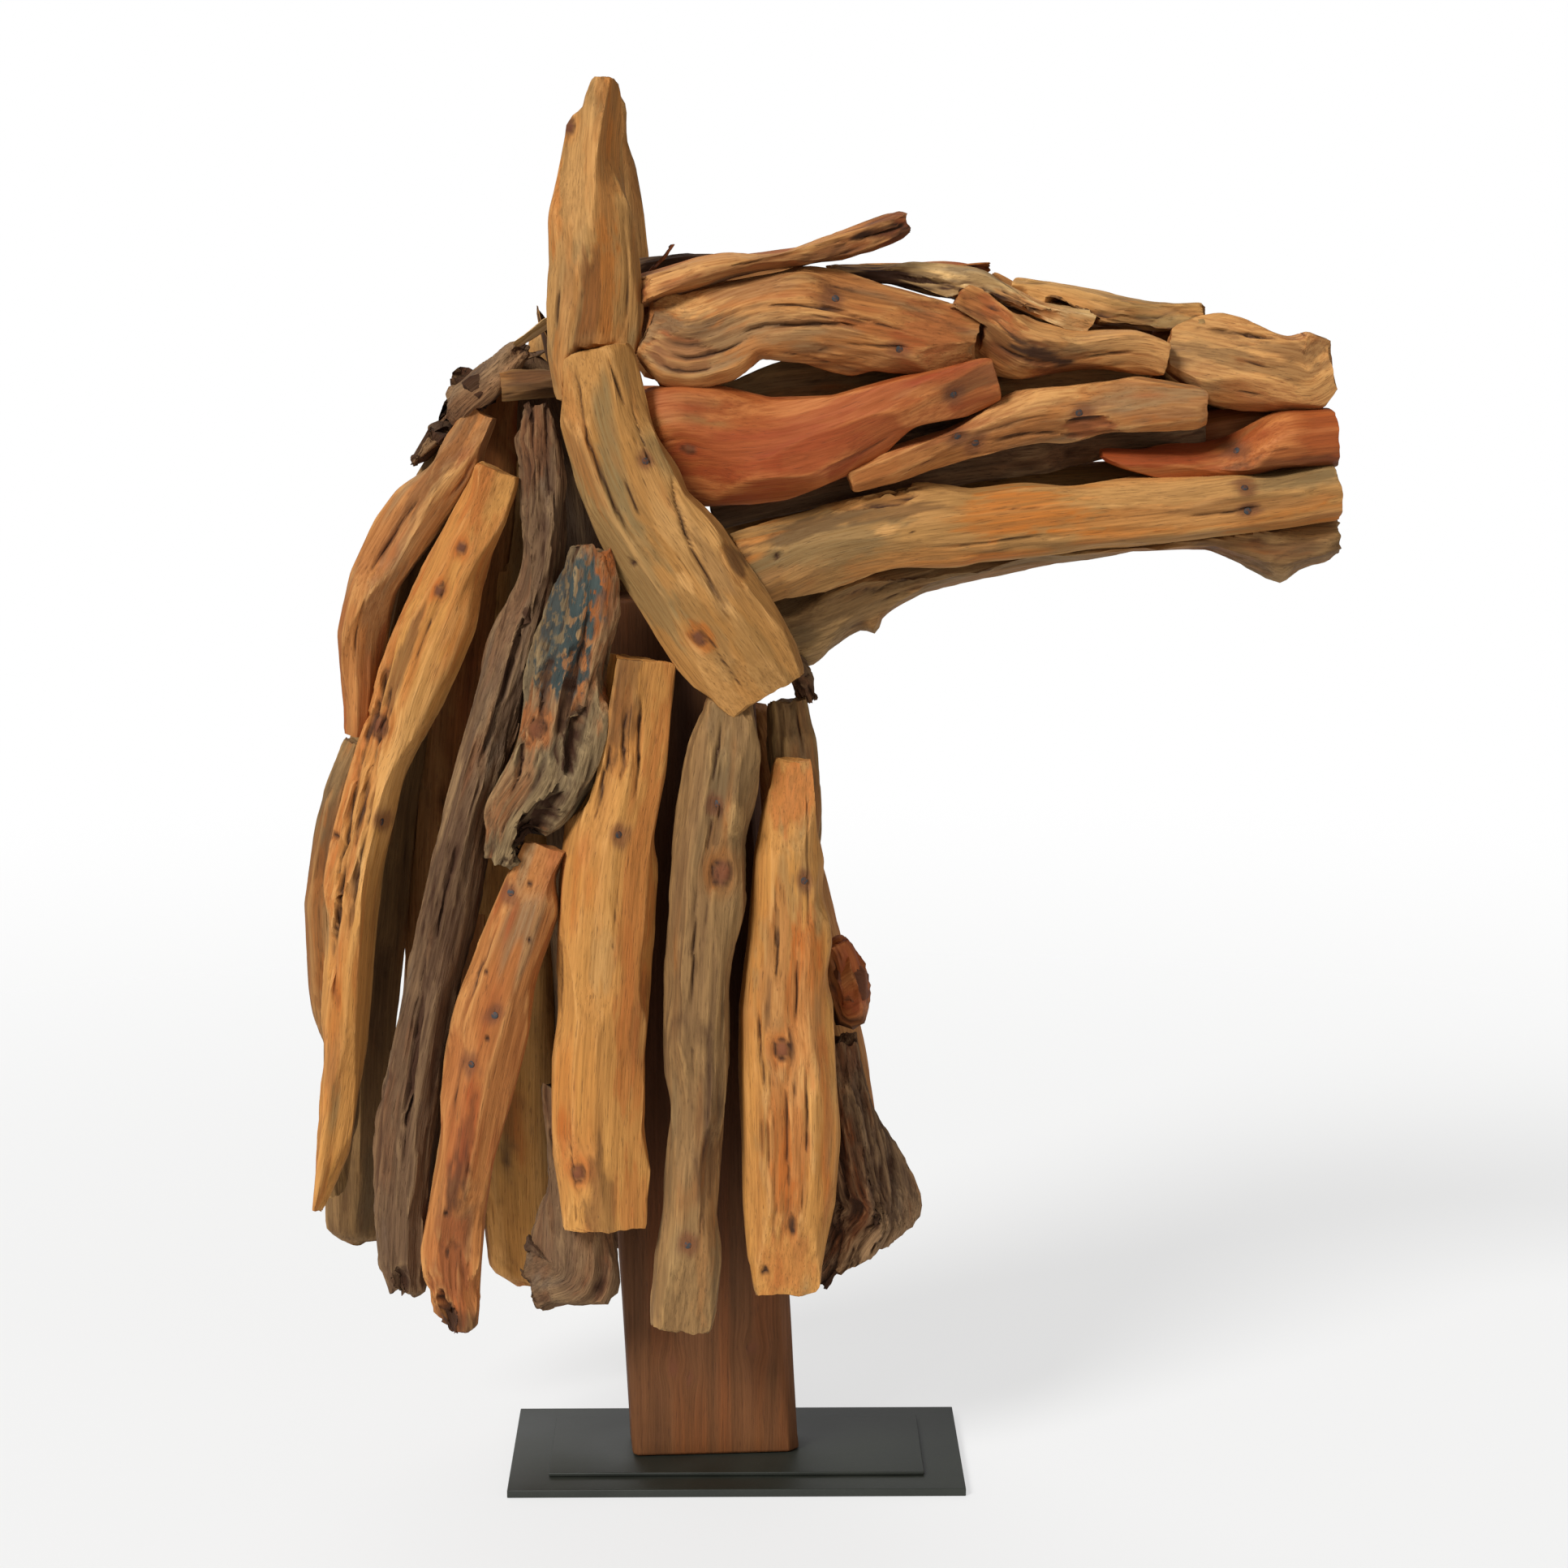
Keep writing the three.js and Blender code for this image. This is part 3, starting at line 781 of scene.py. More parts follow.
@dataclass(frozen=True)
class WoodFinish(Finish):
    """Wood as it looks dry. Colours are sRGB hex values and sizes are millimetres."""

    title: str
    slot: str
    light: str
    middle: str
    deep: str
    warm: str
    grey: str
    # The next colour is fresh wood on rubbed edges, and it also paints highlights.
    fresh_and_sheen: str = "#cf9a5a"
    # The next colour is that of pores, and of the painted shade in cracks, holes and hollows.
    pit: str = "#3d2311"
    rough: float = 0.8
    contrast: float = 1.0
    bump: float = 0.3

    BAND = (160, 9, 3)
    STREAK = (45, 1.3, 4)
    PORE = (9, 0.6, 2)
    MOTTLE = (26, 11, 3)
    FLAKE = (7, 3.5, 4)
    KNOT_SHADES = ("#3c2417", "#8a4f2c")
    PAINT_SHADES = ("#232b2b", "#4c5752")

    def lay(self, tree: bpy.types.NodeTree) -> None:
        """Lays the wood's nodes.

        Args:
            tree: the material's empty node tree.
        """
        grain, tones, traces = (
            add_node(tree, "Attribute", {}, "Vector", attribute_name=name)
            for name in ("grain", "tones", "traces")
        )
        grey, warm, dark = (add_node(tree, "SeparateXYZ", {0: tones}, i) for i in range(3))
        light, paint, knot = (add_node(tree, "SeparateXYZ", {0: traces}, i) for i in range(3))
        # Pores are finer than this in real wood, and are drawn coarser to be seen.
        bands, streaks, pores, mottle, flakes = (
            self._fibres(tree, grain, *size)
            for size in (self.BAND, self.STREAK, self.PORE, self.MOTTLE, self.FLAKE)
        )
        # Each pattern becomes a mask: the pattern, its low and high, and what they give.
        banded, drift, torn, fibred, worn, flaked, pitted, height, gloss = (
            add_node(tree, "MapRange", dict(enumerate(span)))
            for span in (
                (bands, 0.3, 0.7, 0.0, 1.0),
                (mottle, 0.3, 0.7, 0.75, 0.25),
                (streaks, 0.35, 0.65, 0.7, 1.15),
                (streaks, 0.3, 0.65, 1 - 0.26 * self.contrast, 1 + 0.07 * self.contrast),
                (streaks, 0.35, 0.6, 0.35, 0.8),
                (flakes, 0.42, 0.5, 0.0, 1.0),
                (pores, 0.3, 0.4, 0.45 * self.contrast, 0.0),
                (pores, 0.28, 0.5, 0.0, 1.0),
                (streaks, 0.3, 0.7, self.rough + 0.08, self.rough - 0.08),
            )
        )
        greyed, warmed, rubbed_and_sheen, painted = (
            add_node(tree, "Math", {0: tone, 1: mask}, operation="MULTIPLY", use_clamp=True)
            for tone, mask in ((grey, torn), (warm, torn), (light, worn), (paint, flaked))
        )
        core, film = (
            add_node(tree, "Mix", {0: mottle, 6: linear(first), 7: linear(last)}, 2, data_type="RGBA")
            for first, last in (self.KNOT_SHADES, self.PAINT_SHADES)
        )
        # The body is soft bands of deeper and lighter colour along the grain. Over it lie, in turn,
        # silver-grey weathering, orange heart, the fibres, rubbed edges with some painted highlights,
        # knots, flakes of old paint, pores, and the dark tone: a few stains, and painted shade in
        # cracks, furrows, holes and hollows and on the hidden sides.
        body = linear(self.deep)
        for cover, colour, how in (
            (banded, linear(self.light), "MIX"),
            (drift, linear(self.middle), "MIX"),
            (greyed, linear(self.grey), "MIX"),
            (warmed, linear(self.warm), "MIX"),
            (1.0, fibred, "MULTIPLY"),
            # Rubbed edges, and painted highlights, in the fresh colour.
            (rubbed_and_sheen, linear(self.fresh_and_sheen), "MIX"),
            (knot, core, "MIX"),
            (painted, film, "MIX"),
            (pitted, linear(self.pit), "MIX"),
            # The dark tone is mostly painted shade: in cracks, furrows, holes and hollows, and on the
            # sides turned away.
            (dark, linear(self.pit), "MIX"),
        ):
            body = add_node(tree, "Mix", {0: cover, 6: body, 7: colour}, 2,
                            data_type="RGBA", blend_type=how)
        fine = add_node(tree, "Bump", {"Strength": self.bump, "Distance": 0.4 * MM, "Height": height})
        coarse = add_node(tree, "Bump", {
            "Strength": self.bump * 1.3, "Distance": 0.8 * MM, "Height": streaks, "Normal": fine})
        shader = add_node(tree, "BsdfPrincipled", {
            "Base Color": body, "Normal": coarse, "Roughness": gloss, "Specular IOR Level": 0.3})
        add_node(tree, "OutputMaterial", {"Surface": shader})

    @staticmethod
    def _fibres(tree: bpy.types.NodeTree, grain: bpy.types.NodeSocket, long: float, wide: float,
                detail: float) -> bpy.types.NodeSocket:
        """Noise that is stretched along the grain.

        Args:
            tree: the material's node tree.
            grain: each point's place in the wood.
            long: the size of its blotches along the grain, in millimetres.
            wide: their size across it, in millimetres.
            detail: how many finer layers it has.

        Returns:
            The noise's output.
        """
        scale = (1000 / long, 1000 / wide, 1000 / wide)
        place = add_node(tree, "Mapping", {"Vector": grain, "Scale": scale})
        return add_node(tree, "TexNoise", {"Vector": place, "Scale": 1.0, "Detail": detail}, "Fac")


@dataclass(frozen=True)
class RustedIron(Finish):
    """Forged iron nail heads: dark metal, half dulled by brown rust in specks."""

    title: str = "iron_nail_rusted"
    speck: float = 1.5
    iron: str = "#3f4143"
    rust: str = "#6b4129"

    def lay(self, tree: bpy.types.NodeTree) -> None:
        """Lays the iron's nodes.

        Args:
            tree: the material's empty node tree.
        """
        place = add_node(tree, "TexCoord", {}, "Object")
        rust = add_node(tree, "TexNoise", {"Vector": place, "Scale": 1000 / self.speck, "Detail": 3.0},
                        "Fac")
        share = add_node(tree, "MapRange", {0: rust, 1: 0.45, 2: 0.6})
        colour = add_node(tree, "Mix", {0: share, 6: linear(self.iron), 7: linear(self.rust)}, 2,
                          data_type="RGBA")
        bump = add_node(tree, "Bump", {"Strength": 0.4, "Distance": 0.2 * MM, "Height": rust})
        shader = add_node(tree, "BsdfPrincipled", {
            "Base Color": colour, "Roughness": 0.7, "Normal": bump, "Metallic": 0.5})
        add_node(tree, "OutputMaterial", {"Surface": shader})


@dataclass(frozen=True)
class PaintedSteel(Finish):
    """Steel plate under charcoal paint: satin, with dust and fine scuffs that show paler."""

    title: str = "steel_charcoal_painted"
    slot: str = "base_metal"
    grit: float = 1.2
    dust: float = 45
    paint: str = "#1c1f18"
    worn: str = "#32352d"

    def lay(self, tree: bpy.types.NodeTree) -> None:
        """Lays the paint's nodes.

        Args:
            tree: the material's empty node tree.
        """
        place = add_node(tree, "TexCoord", {}, "Object")
        grit, dust = (
            add_node(tree, "TexNoise", {"Vector": place, "Scale": 1000 / size, "Detail": detail}, "Fac")
            for size, detail in ((self.grit, 3.0), (self.dust, 5.0))
        )
        speck = add_node(tree, "MapRange", {0: grit, 1: 0.55, 2: 0.75, 4: 0.35})
        film = add_node(tree, "MapRange", {0: dust, 1: 0.4, 2: 0.7, 4: 0.4})
        share = add_node(tree, "Math", {0: speck, 1: film}, use_clamp=True)
        colour = add_node(tree, "Mix", {0: share, 6: linear(self.paint), 7: linear(self.worn)}, 2,
                          data_type="RGBA")
        rough = add_node(tree, "MapRange", {0: dust, 3: 0.42, 4: 0.62})
        bump = add_node(tree, "Bump", {"Strength": 0.15, "Distance": 0.2 * MM, "Height": grit})
        shader = add_node(tree, "BsdfPrincipled", {"Base Color": colour, "Roughness": rough,
                                                   "Normal": bump})
        add_node(tree, "OutputMaterial", {"Surface": shader})


@dataclass(frozen=True)
class FloorPaper(Finish):
    """Matt white paper that is lit from behind, and fades away with distance."""

    title: str = "floor_paper_matt"
    fade_from: float = 0.5
    fade_to: float = 2.2

    def lay(self, tree: bpy.types.NodeTree) -> None:
        """Lays the paper's nodes.

        Args:
            tree: the material's empty node tree.
        """
        place = add_node(tree, "TexCoord", {}, "Object")
        away = add_node(tree, "VectorMath", {0: place}, "Value", operation="LENGTH")
        fade = add_node(tree, "MapRange", {0: away, 1: self.fade_from, 2: self.fade_to},
                        interpolation_type="SMOOTHSTEP")
        paper = add_node(tree, "BsdfPrincipled", {
            "Base Color": linear("#898988"), "Roughness": 0.9, "Emission Color": linear("#ffffff"),
            "Emission Strength": 0.61})
        clear = add_node(tree, "BsdfTransparent", {})
        both = add_node(tree, "MixShader", {0: fade, 1: paper, 2: clear})
        add_node(tree, "OutputMaterial", {"Surface": both})


class Wood(Enum):
    """The woods that the sticks are of."""

    # Dry softwood, hewn: matt honey brown with darker bands and fine pores.
    HONEY = WoodFinish(
        "driftwood_honey_hewn", "wood_honey", "#b88447", "#ab7738", "#93632c", "#a56123", "#866c41")
    # Pale heartwood, split: the yellowest, with orange where it broke last.
    GOLDEN = WoodFinish(
        "driftwood_golden_split", "wood_golden", "#cb9249", "#bd803b", "#a4682d", "#af6122",
        "#957344")
    # Red softwood, hewn: orange brown with grey in the hollows.
    ORANGE = WoodFinish(
        "driftwood_orange_hewn", "wood_orange", "#b8773b", "#a6632d", "#8a4c1f", "#984719",
        "#8a6844")
    # Red heartwood, planed by water: even, a little satin, with a fine grain.
    RED = WoodFinish(
        "driftwood_red_planed", "wood_red", "#a75421", "#974817", "#7f390f", "#8e330b", "#895c2e",
        fresh_and_sheen="#c27a3f", rough=0.7, bump=0.2, contrast=0.7)
    # Old hardwood, weathered: tan with green-grey skin and warm heart.
    TAN = WoodFinish(
        "driftwood_tan_weathered", "wood_tan", "#b78748", "#a57640", "#886030", "#b46923",
        "#81673f")
    # Old softwood, weathered grey: dull brown-grey with rubbed tan edges.
    GREY = WoodFinish(
        "driftwood_grey_weathered", "wood_grey", "#967344", "#83613a", "#694929", "#8f5724",
        "#715938", fresh_and_sheen="#af8752")
    # Rotten wood, split: dark, matt and open, with strong fibres.
    ROUGH = WoodFinish(
        "driftwood_rough_split", "wood_rough", "#7d5f41", "#684c34", "#4a3220", "#704325",
        "#624f3e", fresh_and_sheen="#947550", contrast=1.3, bump=0.6, rough=0.9)
    # Bark, furrowed: the darkest and roughest, with paler ridges.
    BARK = WoodFinish(
        "driftwood_bark_furrowed", "wood_bark", "#846143", "#664a32", "#402b1b", "#78401b",
        "#765f49", fresh_and_sheen="#b08a60", contrast=1.5, bump=0.8, rough=0.93)
    # Fresh splits of softwood: almost yellow, and clean.
    PALE = WoodFinish(
        "driftwood_pale_split", "wood_pale", "#deb273", "#d2a360", "#ba8649", "#bb7638", "#ae8f62",
        fresh_and_sheen="#eac992")
    # Driftwood under old paint: dirty brown with flakes of blue-grey.
    PAINTED = WoodFinish(
        "driftwood_flaked_paint", "wood_painted", "#88704d", "#735c3e", "#503d27", "#9a5421",
        "#685b44", fresh_and_sheen="#a78b60", contrast=1.2, bump=0.55, rough=0.88)
    # Hardwood post, sawn: red brown and even, smoother than the driftwood.
    POST = WoodFinish(
        "hardwood_post_sawn", "post_wood", "#7f502b", "#6c4121", "#563515", "#75421c", "#654d32",
        fresh_and_sheen="#936137", rough=0.72, contrast=0.9)


@dataclass(frozen=True)
class WearSizes:
    """How tools, water and worms shape the surface of a stick. Lengths are millimetres."""

    wave: float = 0.4
    furrow: float = 0.35
    fibre: float = 0.1
    flake: float = 0.16
    soft: float = 1.5
    rounding: float = 0.7
    ragged: float = 1.2
    facets: int = 14
    depth: float = 2.2
    grey: float = 0.2
    warm: float = 0.25
    splits: int = 2
    stains: int = 7


class Wear(Enum):
    """The ways that the sticks are worn."""

    # Chopped flat in short facets, and dry ever since.
    HEWN = WearSizes()
    # Rolled smooth by water.
    SMOOTH = WearSizes(furrow=0.12, fibre=0.05, flake=0.05, soft=3, rounding=1.2, ragged=0.7,
                       facets=7, grey=0.05, splits=1)
    # Years in the sun, with soft wood gone from between the hard lines.
    WEATHERED = WearSizes(wave=0.8, furrow=0.8, fibre=0.22, flake=0.35, soft=2, rounding=1.0,
                          ragged=2.2, facets=10, depth=2.8, grey=0.3, splits=4)
    # Torn along the grain, with deep furrows and ragged ends.
    ROUGH_SPLIT = WearSizes(wave=1.6, furrow=1.6, fibre=0.4, flake=0.8, soft=2, rounding=0.8,
                            ragged=5.0, facets=8, depth=3.5, grey=0.4, splits=5)
    # Thick bark with its own furrows.
    BARKED = WearSizes(wave=2.0, furrow=2.4, fibre=0.5, flake=0.6, soft=2, rounding=0.8,
                       ragged=5.0, facets=3, grey=0.3)


# ---------------------------------------------------------------- one stick and its nails


@dataclass(frozen=True)
class NailHead:
    """A flattened round nail head. One is made, and the others are copies of its mesh."""

    radius: float = 1.9
    thick: float = 1.0
    bevel: float = 0.4
    stands: float = 0.1
    sides: int = 20

    PATTERN = "nail_head_pattern"

    def build(self, name: str, place: np.ndarray, way: np.ndarray) -> bpy.types.Object:
        """Puts a nail head on a stick.

        Args:
            name: the piece's name.
            place: the middle of its underside.
            way: the direction it faces.

        Returns:
            The piece.
        """
        head = linked(name, (bpy.data.meshes.get(self.PATTERN) or self._pattern()).copy())
        head.data.name = name
        turn = Vector(way).to_track_quat("Z", "Y").to_matrix().to_4x4()
        turn.translation = Vector(place + way * self.stands * MM)
        head.data.transform(turn)
        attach(head, "root")
        return head

    def _pattern(self) -> bpy.types.Mesh:
        """Makes the nail head that all others are copies of.

        Returns:
            Its mesh, which no object keeps.
        """
        bpy.ops.object.select_all(action="DESELECT")
        bpy.ops.mesh.primitive_cylinder_add(
            vertices=self.sides, radius=self.radius * MM, depth=self.thick * MM)
        first = bpy.context.object
        soften(first, self.bevel * MM, 2)
        bpy.ops.object.shade_smooth_by_angle(angle=math.radians(40))
        pattern = first.data
        pattern.name = self.PATTERN
        pattern.use_fake_user = True
        pattern.materials.append(RustedIron().material())
        bpy.data.objects.remove(first)
        return pattern


@dataclass
class Stick:
    """One piece of driftwood that stands for a CAD node.

    Fine and long are the net's steps round the stick and along it, in millimetres. Blunt says how
    far each end is filled out, from 0 to 1.
    """

    node: str
    wood: Wood
    wear: Wear = Wear.HEWN
    marks: tuple[Mark, ...] = ()
    facing: Side = Side.NEAR
    fine: float = 0.9
    long: float = 2.5
    blunt: tuple[float, float] = (0.6, 0.6)

    ANGLES = 144
    GROW = 1.4
    EDGE = 0.25 * MM
    END_ROWS = np.array([0, 0.6, 1.5, 3.0]) * MM
    BLUNT_REACH = 15 * MM
    CAP = np.array([0.93, 0.82, 0.66, 0.46, 0.24, 0.0])[:, None]
    ACROSS_GRAIN = np.array([0, 1, 1])

    def build(self) -> bpy.types.Object:
        """Makes the stick, dresses it and puts it in the CAD node's place.

        Returns:
            The piece.
        """
        run = Run(self.node, np.array(self.facing.value))
        skin = self._skin(run)
        self._carve(skin)
        piece = self._mesh(skin)
        piece.data.materials.append(self.wood.value.material())
        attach(piece, "root")
        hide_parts(self.node)
        for number, (place, way) in enumerate(skin.nails, 1):
            NailHead().build(f"{self.node}_nail_{number}", place, way)
        log.info("%s: %d faces, %.0f mm long", piece.name, len(piece.data.polygons), run.length / MM)
        return piece

    def _skin(self, run: Run) -> Skin:
        """Rolls a net of points round the CAD stick.

        Args:
            run: the stick's middle line and outline.

        Returns:
            The skin, not yet carved.
        """
        step, last = self.long * MM, self.END_ROWS[-1]
        inner = np.arange(last + step, run.length - last - step * 0.5, step)
        tail = (run.length - self.EDGE - self.END_ROWS)[::-1]
        spots = np.concatenate([self.END_ROWS + self.EDGE, inner, tail])
        place, along = run.at(spots)
        centre = np.array([run.middle(p, d) for p, d in zip(place, along)])
        shift = smoothed(centre - place, 1.2, 0, False)
        shift[:3], shift[-3:] = (centre - place)[:3], (centre - place)[-3:]
        centre = place + shift
        across, outward = run.frame_at(along)
        turns = self._turns(run, centre, across, outward)
        ways = (np.cos(turns)[None, :, None] * across[:, None]
                + np.sin(turns)[None, :, None] * outward[:, None])
        reach = np.array([run.reach(c, w) for c, w in zip(centre, ways)])
        gap = np.minimum(spots, run.length - spots)
        wear = self.wear.value
        even = smoothed(reach, wear.soft / self.long, 0, False)
        keep = ease(gap, 2 * MM, 8 * MM)[:, None]
        reach = smoothed(reach * (1 - keep) + even * keep, wear.rounding / self.fine * 0.6, 1, True)
        fuller = self.GROW * MM * (0.3 + 0.7 * np.cos(turns) ** 2)
        reach += fuller * ease(gap, 0, 4 * MM)[:, None]
        net = centre[:, None] + ways * reach[..., None]
        self._blunt_ends(net, place, spots, run.length)
        half = np.abs(((net - place[:, None]) * across[:, None]).sum(-1)).max(1)
        seed = zlib.crc32(self.node.encode()) % 100000
        return Skin(net, spots, run.length, place, along, across, outward, half, seed)

    def _blunt_ends(self, net: np.ndarray, place: np.ndarray, spots: np.ndarray,
                    length: float) -> None:
        """Fills out the two ends towards the section that the stick has a little further in.

        Args:
            net: the net's points, which are moved.
            place: the middle line's place at each row.
            spots: each row's distance from the first end.
            length: the stick's length.
        """
        for share, gap in zip(self.blunt, (spots, length - spots)):
            inner = int(np.abs(gap - self.BLUNT_REACH).argmin())
            rows = np.flatnonzero(gap < gap[inner])
            moved = net[inner] + (place[rows] - place[inner])[:, None]
            net[rows] += (moved - net[rows]) * share

    def _turns(self, run: Run, centre: np.ndarray, across: np.ndarray,
               outward: np.ndarray) -> np.ndarray:
        """Angles of the net's columns, close on the shown side and wider apart on the hidden one.

        Args:
            run: the stick's middle line and outline.
            centre: the section's centre at each row.
            across: the way across the stick at each row.
            outward: the way out of its shown side at each row.

        Returns:
            The angles, in radians.
        """
        angles = (np.arange(self.ANGLES) + 0.5) / self.ANGLES * 2 * np.pi - np.pi / 2
        rows = np.linspace(1, len(centre) - 2, 9).astype(int)
        flat = np.stack([np.cos(angles), np.sin(angles)], axis=1)
        ways = [flat[:, :1] * across[i] + flat[:, 1:] * outward[i] for i in rows]
        rings = np.array([run.reach(centre[i], w) for i, w in zip(rows, ways)])
        spot = flat * smoothed(rings.mean(0)[None], 1.5, 1, True)[0][:, None]
        gaps = np.linalg.norm(np.roll(spot, -1, axis=0) - spot, axis=1)
        gaps *= 0.5 + 0.5 * ease(np.sin(angles), -0.6, 0.1)
        marks = np.concatenate([[0], np.cumsum(gaps)])
        count = max(24, int(marks[-1] / (self.fine * MM)))
        wanted = (np.arange(count) / count) * marks[-1]
        return np.interp(wanted, marks, np.append(angles, angles[0] + 2 * np.pi))

    def _carve(self, skin: Skin) -> None:
        """Gives the skin its hewn facets, weathering, marks, worn ends and tones.

        Args:
            skin: the skin to carve.
        """
        wear = self.wear.value
        draw = np.random.default_rng(skin.seed)
        wave = skin.pattern(70, 26, 1) * wear.wave + skin.pattern(24, 10, 2) * wear.wave * 0.4
        skin.lift(wave * MM)
        for _ in range(wear.facets):
            Hewn(draw.uniform(0.0, 1.0), draw.uniform(-10, 190), draw.uniform(0.3, 1.0) * wear.depth,
                 draw.uniform(-9, 9), draw.uniform(12, 40)).work(skin)
        for mark in (m for m in self.marks if m.EARLY):
            mark.work(skin)
        flakes = terraces(skin.pattern(60, 7, 7) * 2.2 + 0.5 * skin.pattern(18, 2.2, 8))
        skin.lift((flakes * wear.flake) * MM)
        furrow = np.clip(1 - np.abs(skin.pattern(75, 5.0, 3)) * 3.2, 0, 1) ** 2
        furrow += 0.5 * np.clip(1 - np.abs(skin.pattern(30, 2.4, 6)) * 2.6, 0, 1) ** 2
        furrow *= ease(skin.pattern(60, 25, 4), -0.4, 0.6)
        fibre = skin.pattern(22, 1.8, 5) * wear.fibre
        skin.lift((fibre - furrow * wear.furrow) * MM)
        # The furrows are darkened: painted shade in them.
        skin.tones[DARK] += furrow * min(0.7, wear.furrow * 0.5)
        for _ in range(wear.stains):
            StainAndPaintedLight(Tone(str(draw.choice(["grey", "warm", "dark", "warm", "light"]))),
                  draw.uniform(0, 1), draw.uniform(-0.9, 0.9), draw.uniform(18, 60),
                  draw.uniform(4, 11), draw.uniform(0.25, 0.55)).work(skin)
        for _ in range(wear.splits):
            start, side = draw.uniform(0.0, 0.75), draw.uniform(-0.75, 0.75)
            reach = draw.uniform(0.1, 0.3)
            Crack(((start, side), (start + reach, side + draw.uniform(-0.15, 0.15))),
                  draw.uniform(0.3, 0.8), draw.uniform(0.8, 1.8)).work(skin)
        for mark in (m for m in self.marks if not m.EARLY):
            mark.work(skin)
        self._wear_ends(skin)
        self._tint(skin)

    def _wear_ends(self, skin: Skin) -> None:
        """Breaks the two ends along the grain, so that they are splintered and not sawn.

        Args:
            skin: the skin whose ends are worn.
        """
        section = skin.grain() * self.ACROSS_GRAIN
        ragged = self.wear.value.ragged
        reach = (4 + 3 * ragged) * MM
        for end, way in ((0.0, 1.0), (skin.length, -1.0)):
            rag = 0.5 + 0.5 * noise(section / (3.2 * MM) + 11 * way, skin.seed + 7)
            coarse = 0.5 + 0.5 * noise(section / (9 * MM) + 5 * way, skin.seed + 8)
            fade = ease(np.abs(skin.run - end), reach, 0)[:, None]
            push = (0.45 * rag + 0.55 * coarse) * fade * ragged * 1.6 * MM * way
            skin.place += skin.along[:, None] * push[..., None]

    def _tint(self, skin: Skin) -> None:
        """Sets the tones that follow the shape: worn edges, painted shade in hollows and on the hidden
        sides, and grey and warm streaks.

        Args:
            skin: the skin to tint.
        """
        tones, wear = skin.tones, self.wear.value
        blurred = smoothed(smoothed(skin.place, 2.2 / self.fine, 1, True), 2.0, 0, False)
        ridge = ((skin.place - blurred) * skin.normals()).sum(-1) / MM
        tones[LIGHT] += 0.55 * ease(ridge, 0.2, 0.9)
        # Hollows are darkened: painted shade.
        tones[DARK] += 0.55 * ease(ridge, -0.3, -1.2)
        grey = skin.pattern(80, 12, 11) + 0.5 * skin.pattern(25, 5, 12)
        tones[GREY] += ease(grey, 0.7 - 1.3 * wear.grey, 1.2 - 1.2 * wear.grey) * 0.85
        warm = skin.pattern(65, 9, 13) + 0.5 * skin.pattern(25, 4, 14)
        tones[WARM] += ease(warm, 0.7 - 1.3 * wear.warm, 1.3 - 1.2 * wear.warm) * 0.7
        # The sides turned away from the shown side are darkened: painted shade inside the head and
        # neck.
        tones[DARK] += 0.2 * ease(skin.shown(), 0.0, -0.7)
        for tone in tones:
            tones[tone] = np.clip(tones[tone], 0, 1)

    def _closed(self, skin: Skin) -> tuple[np.ndarray, np.ndarray, dict[Tone, np.ndarray]]:
        """Closes the net with rings that shrink to a point at each end.

        Args:
            skin: the carved skin.

        Returns:
            The place, the grain and the tones of each point, with those of the ends.
        """
        grain = skin.grain()
        places, grains = [skin.place], [grain]
        tones = {tone: [values] for tone, values in skin.tones.items()}
        shape = 1 - self.CAP**6
        for row, way in ((0, -1), (-1, 1)):
            # The last end is capped with the grain of the first end's cap, not with its own.
            ring_grain = grain[0] if row == 0 else grains[0][-1]
            new_places, new_grains = (
                ring.mean(0) + (ring - ring.mean(0)) * self.CAP[..., None]
                for ring in (skin.place[row], ring_grain)
            )
            rough = noise(new_grains * self.ACROSS_GRAIN / (3.5 * MM), skin.seed + 9)
            deep = shape * (0.5 + 0.5 * rough) * (0.1 + 0.6 * self.wear.value.ragged) * MM
            new_places -= skin.along[row] * way * deep[..., None]
            spot = 0 if row == 0 else 2
            places.insert(spot, new_places[::way])
            grains.insert(spot, new_grains[::way])
            for tone, values in skin.tones.items():
                ends = np.repeat(values[row][None], len(self.CAP), 0)
                if tone is DARK:
                    ends = np.clip(ends * 0.5 + 0.25 * shape * (0.5 - 0.5 * rough), 0, 1)
                tones[tone].insert(spot, ends[::way])
        joined = {tone: np.concatenate(rows) for tone, rows in tones.items()}
        return np.concatenate(places), np.concatenate(grains), joined

    def _mesh(self, skin: Skin) -> bpy.types.Object:
        """Lays a grid primitive on the closed net.

        Args:
            skin: the carved skin.

        Returns:
            The stick's object.
        """
        place, grain, tone = self._closed(skin)
        count_long, count_round = place.shape[:2]
        bpy.ops.object.select_all(action="DESELECT")
        bpy.ops.mesh.primitive_grid_add(
            x_subdivisions=count_round, y_subdivisions=count_long - 1, size=1)
        piece = bpy.context.object
        piece.name = self.node + "_stick"
        mesh = piece.data
        mesh.name = piece.name
        offset = np.array([0.13, 0.029, 0.017]) * (skin.seed % 31)
        lean = np.array([0, 0.04, -0.03]) * ((skin.seed % 7) - 3) / 3
        vectors = {
            "grain": grain + grain[..., :1] * lean + offset,
            "tones": np.stack([tone[GREY], tone[WARM], tone[DARK]], -1),
            "traces": np.stack([tone[LIGHT], tone[PAINT], tone[KNOT]], -1),
        }
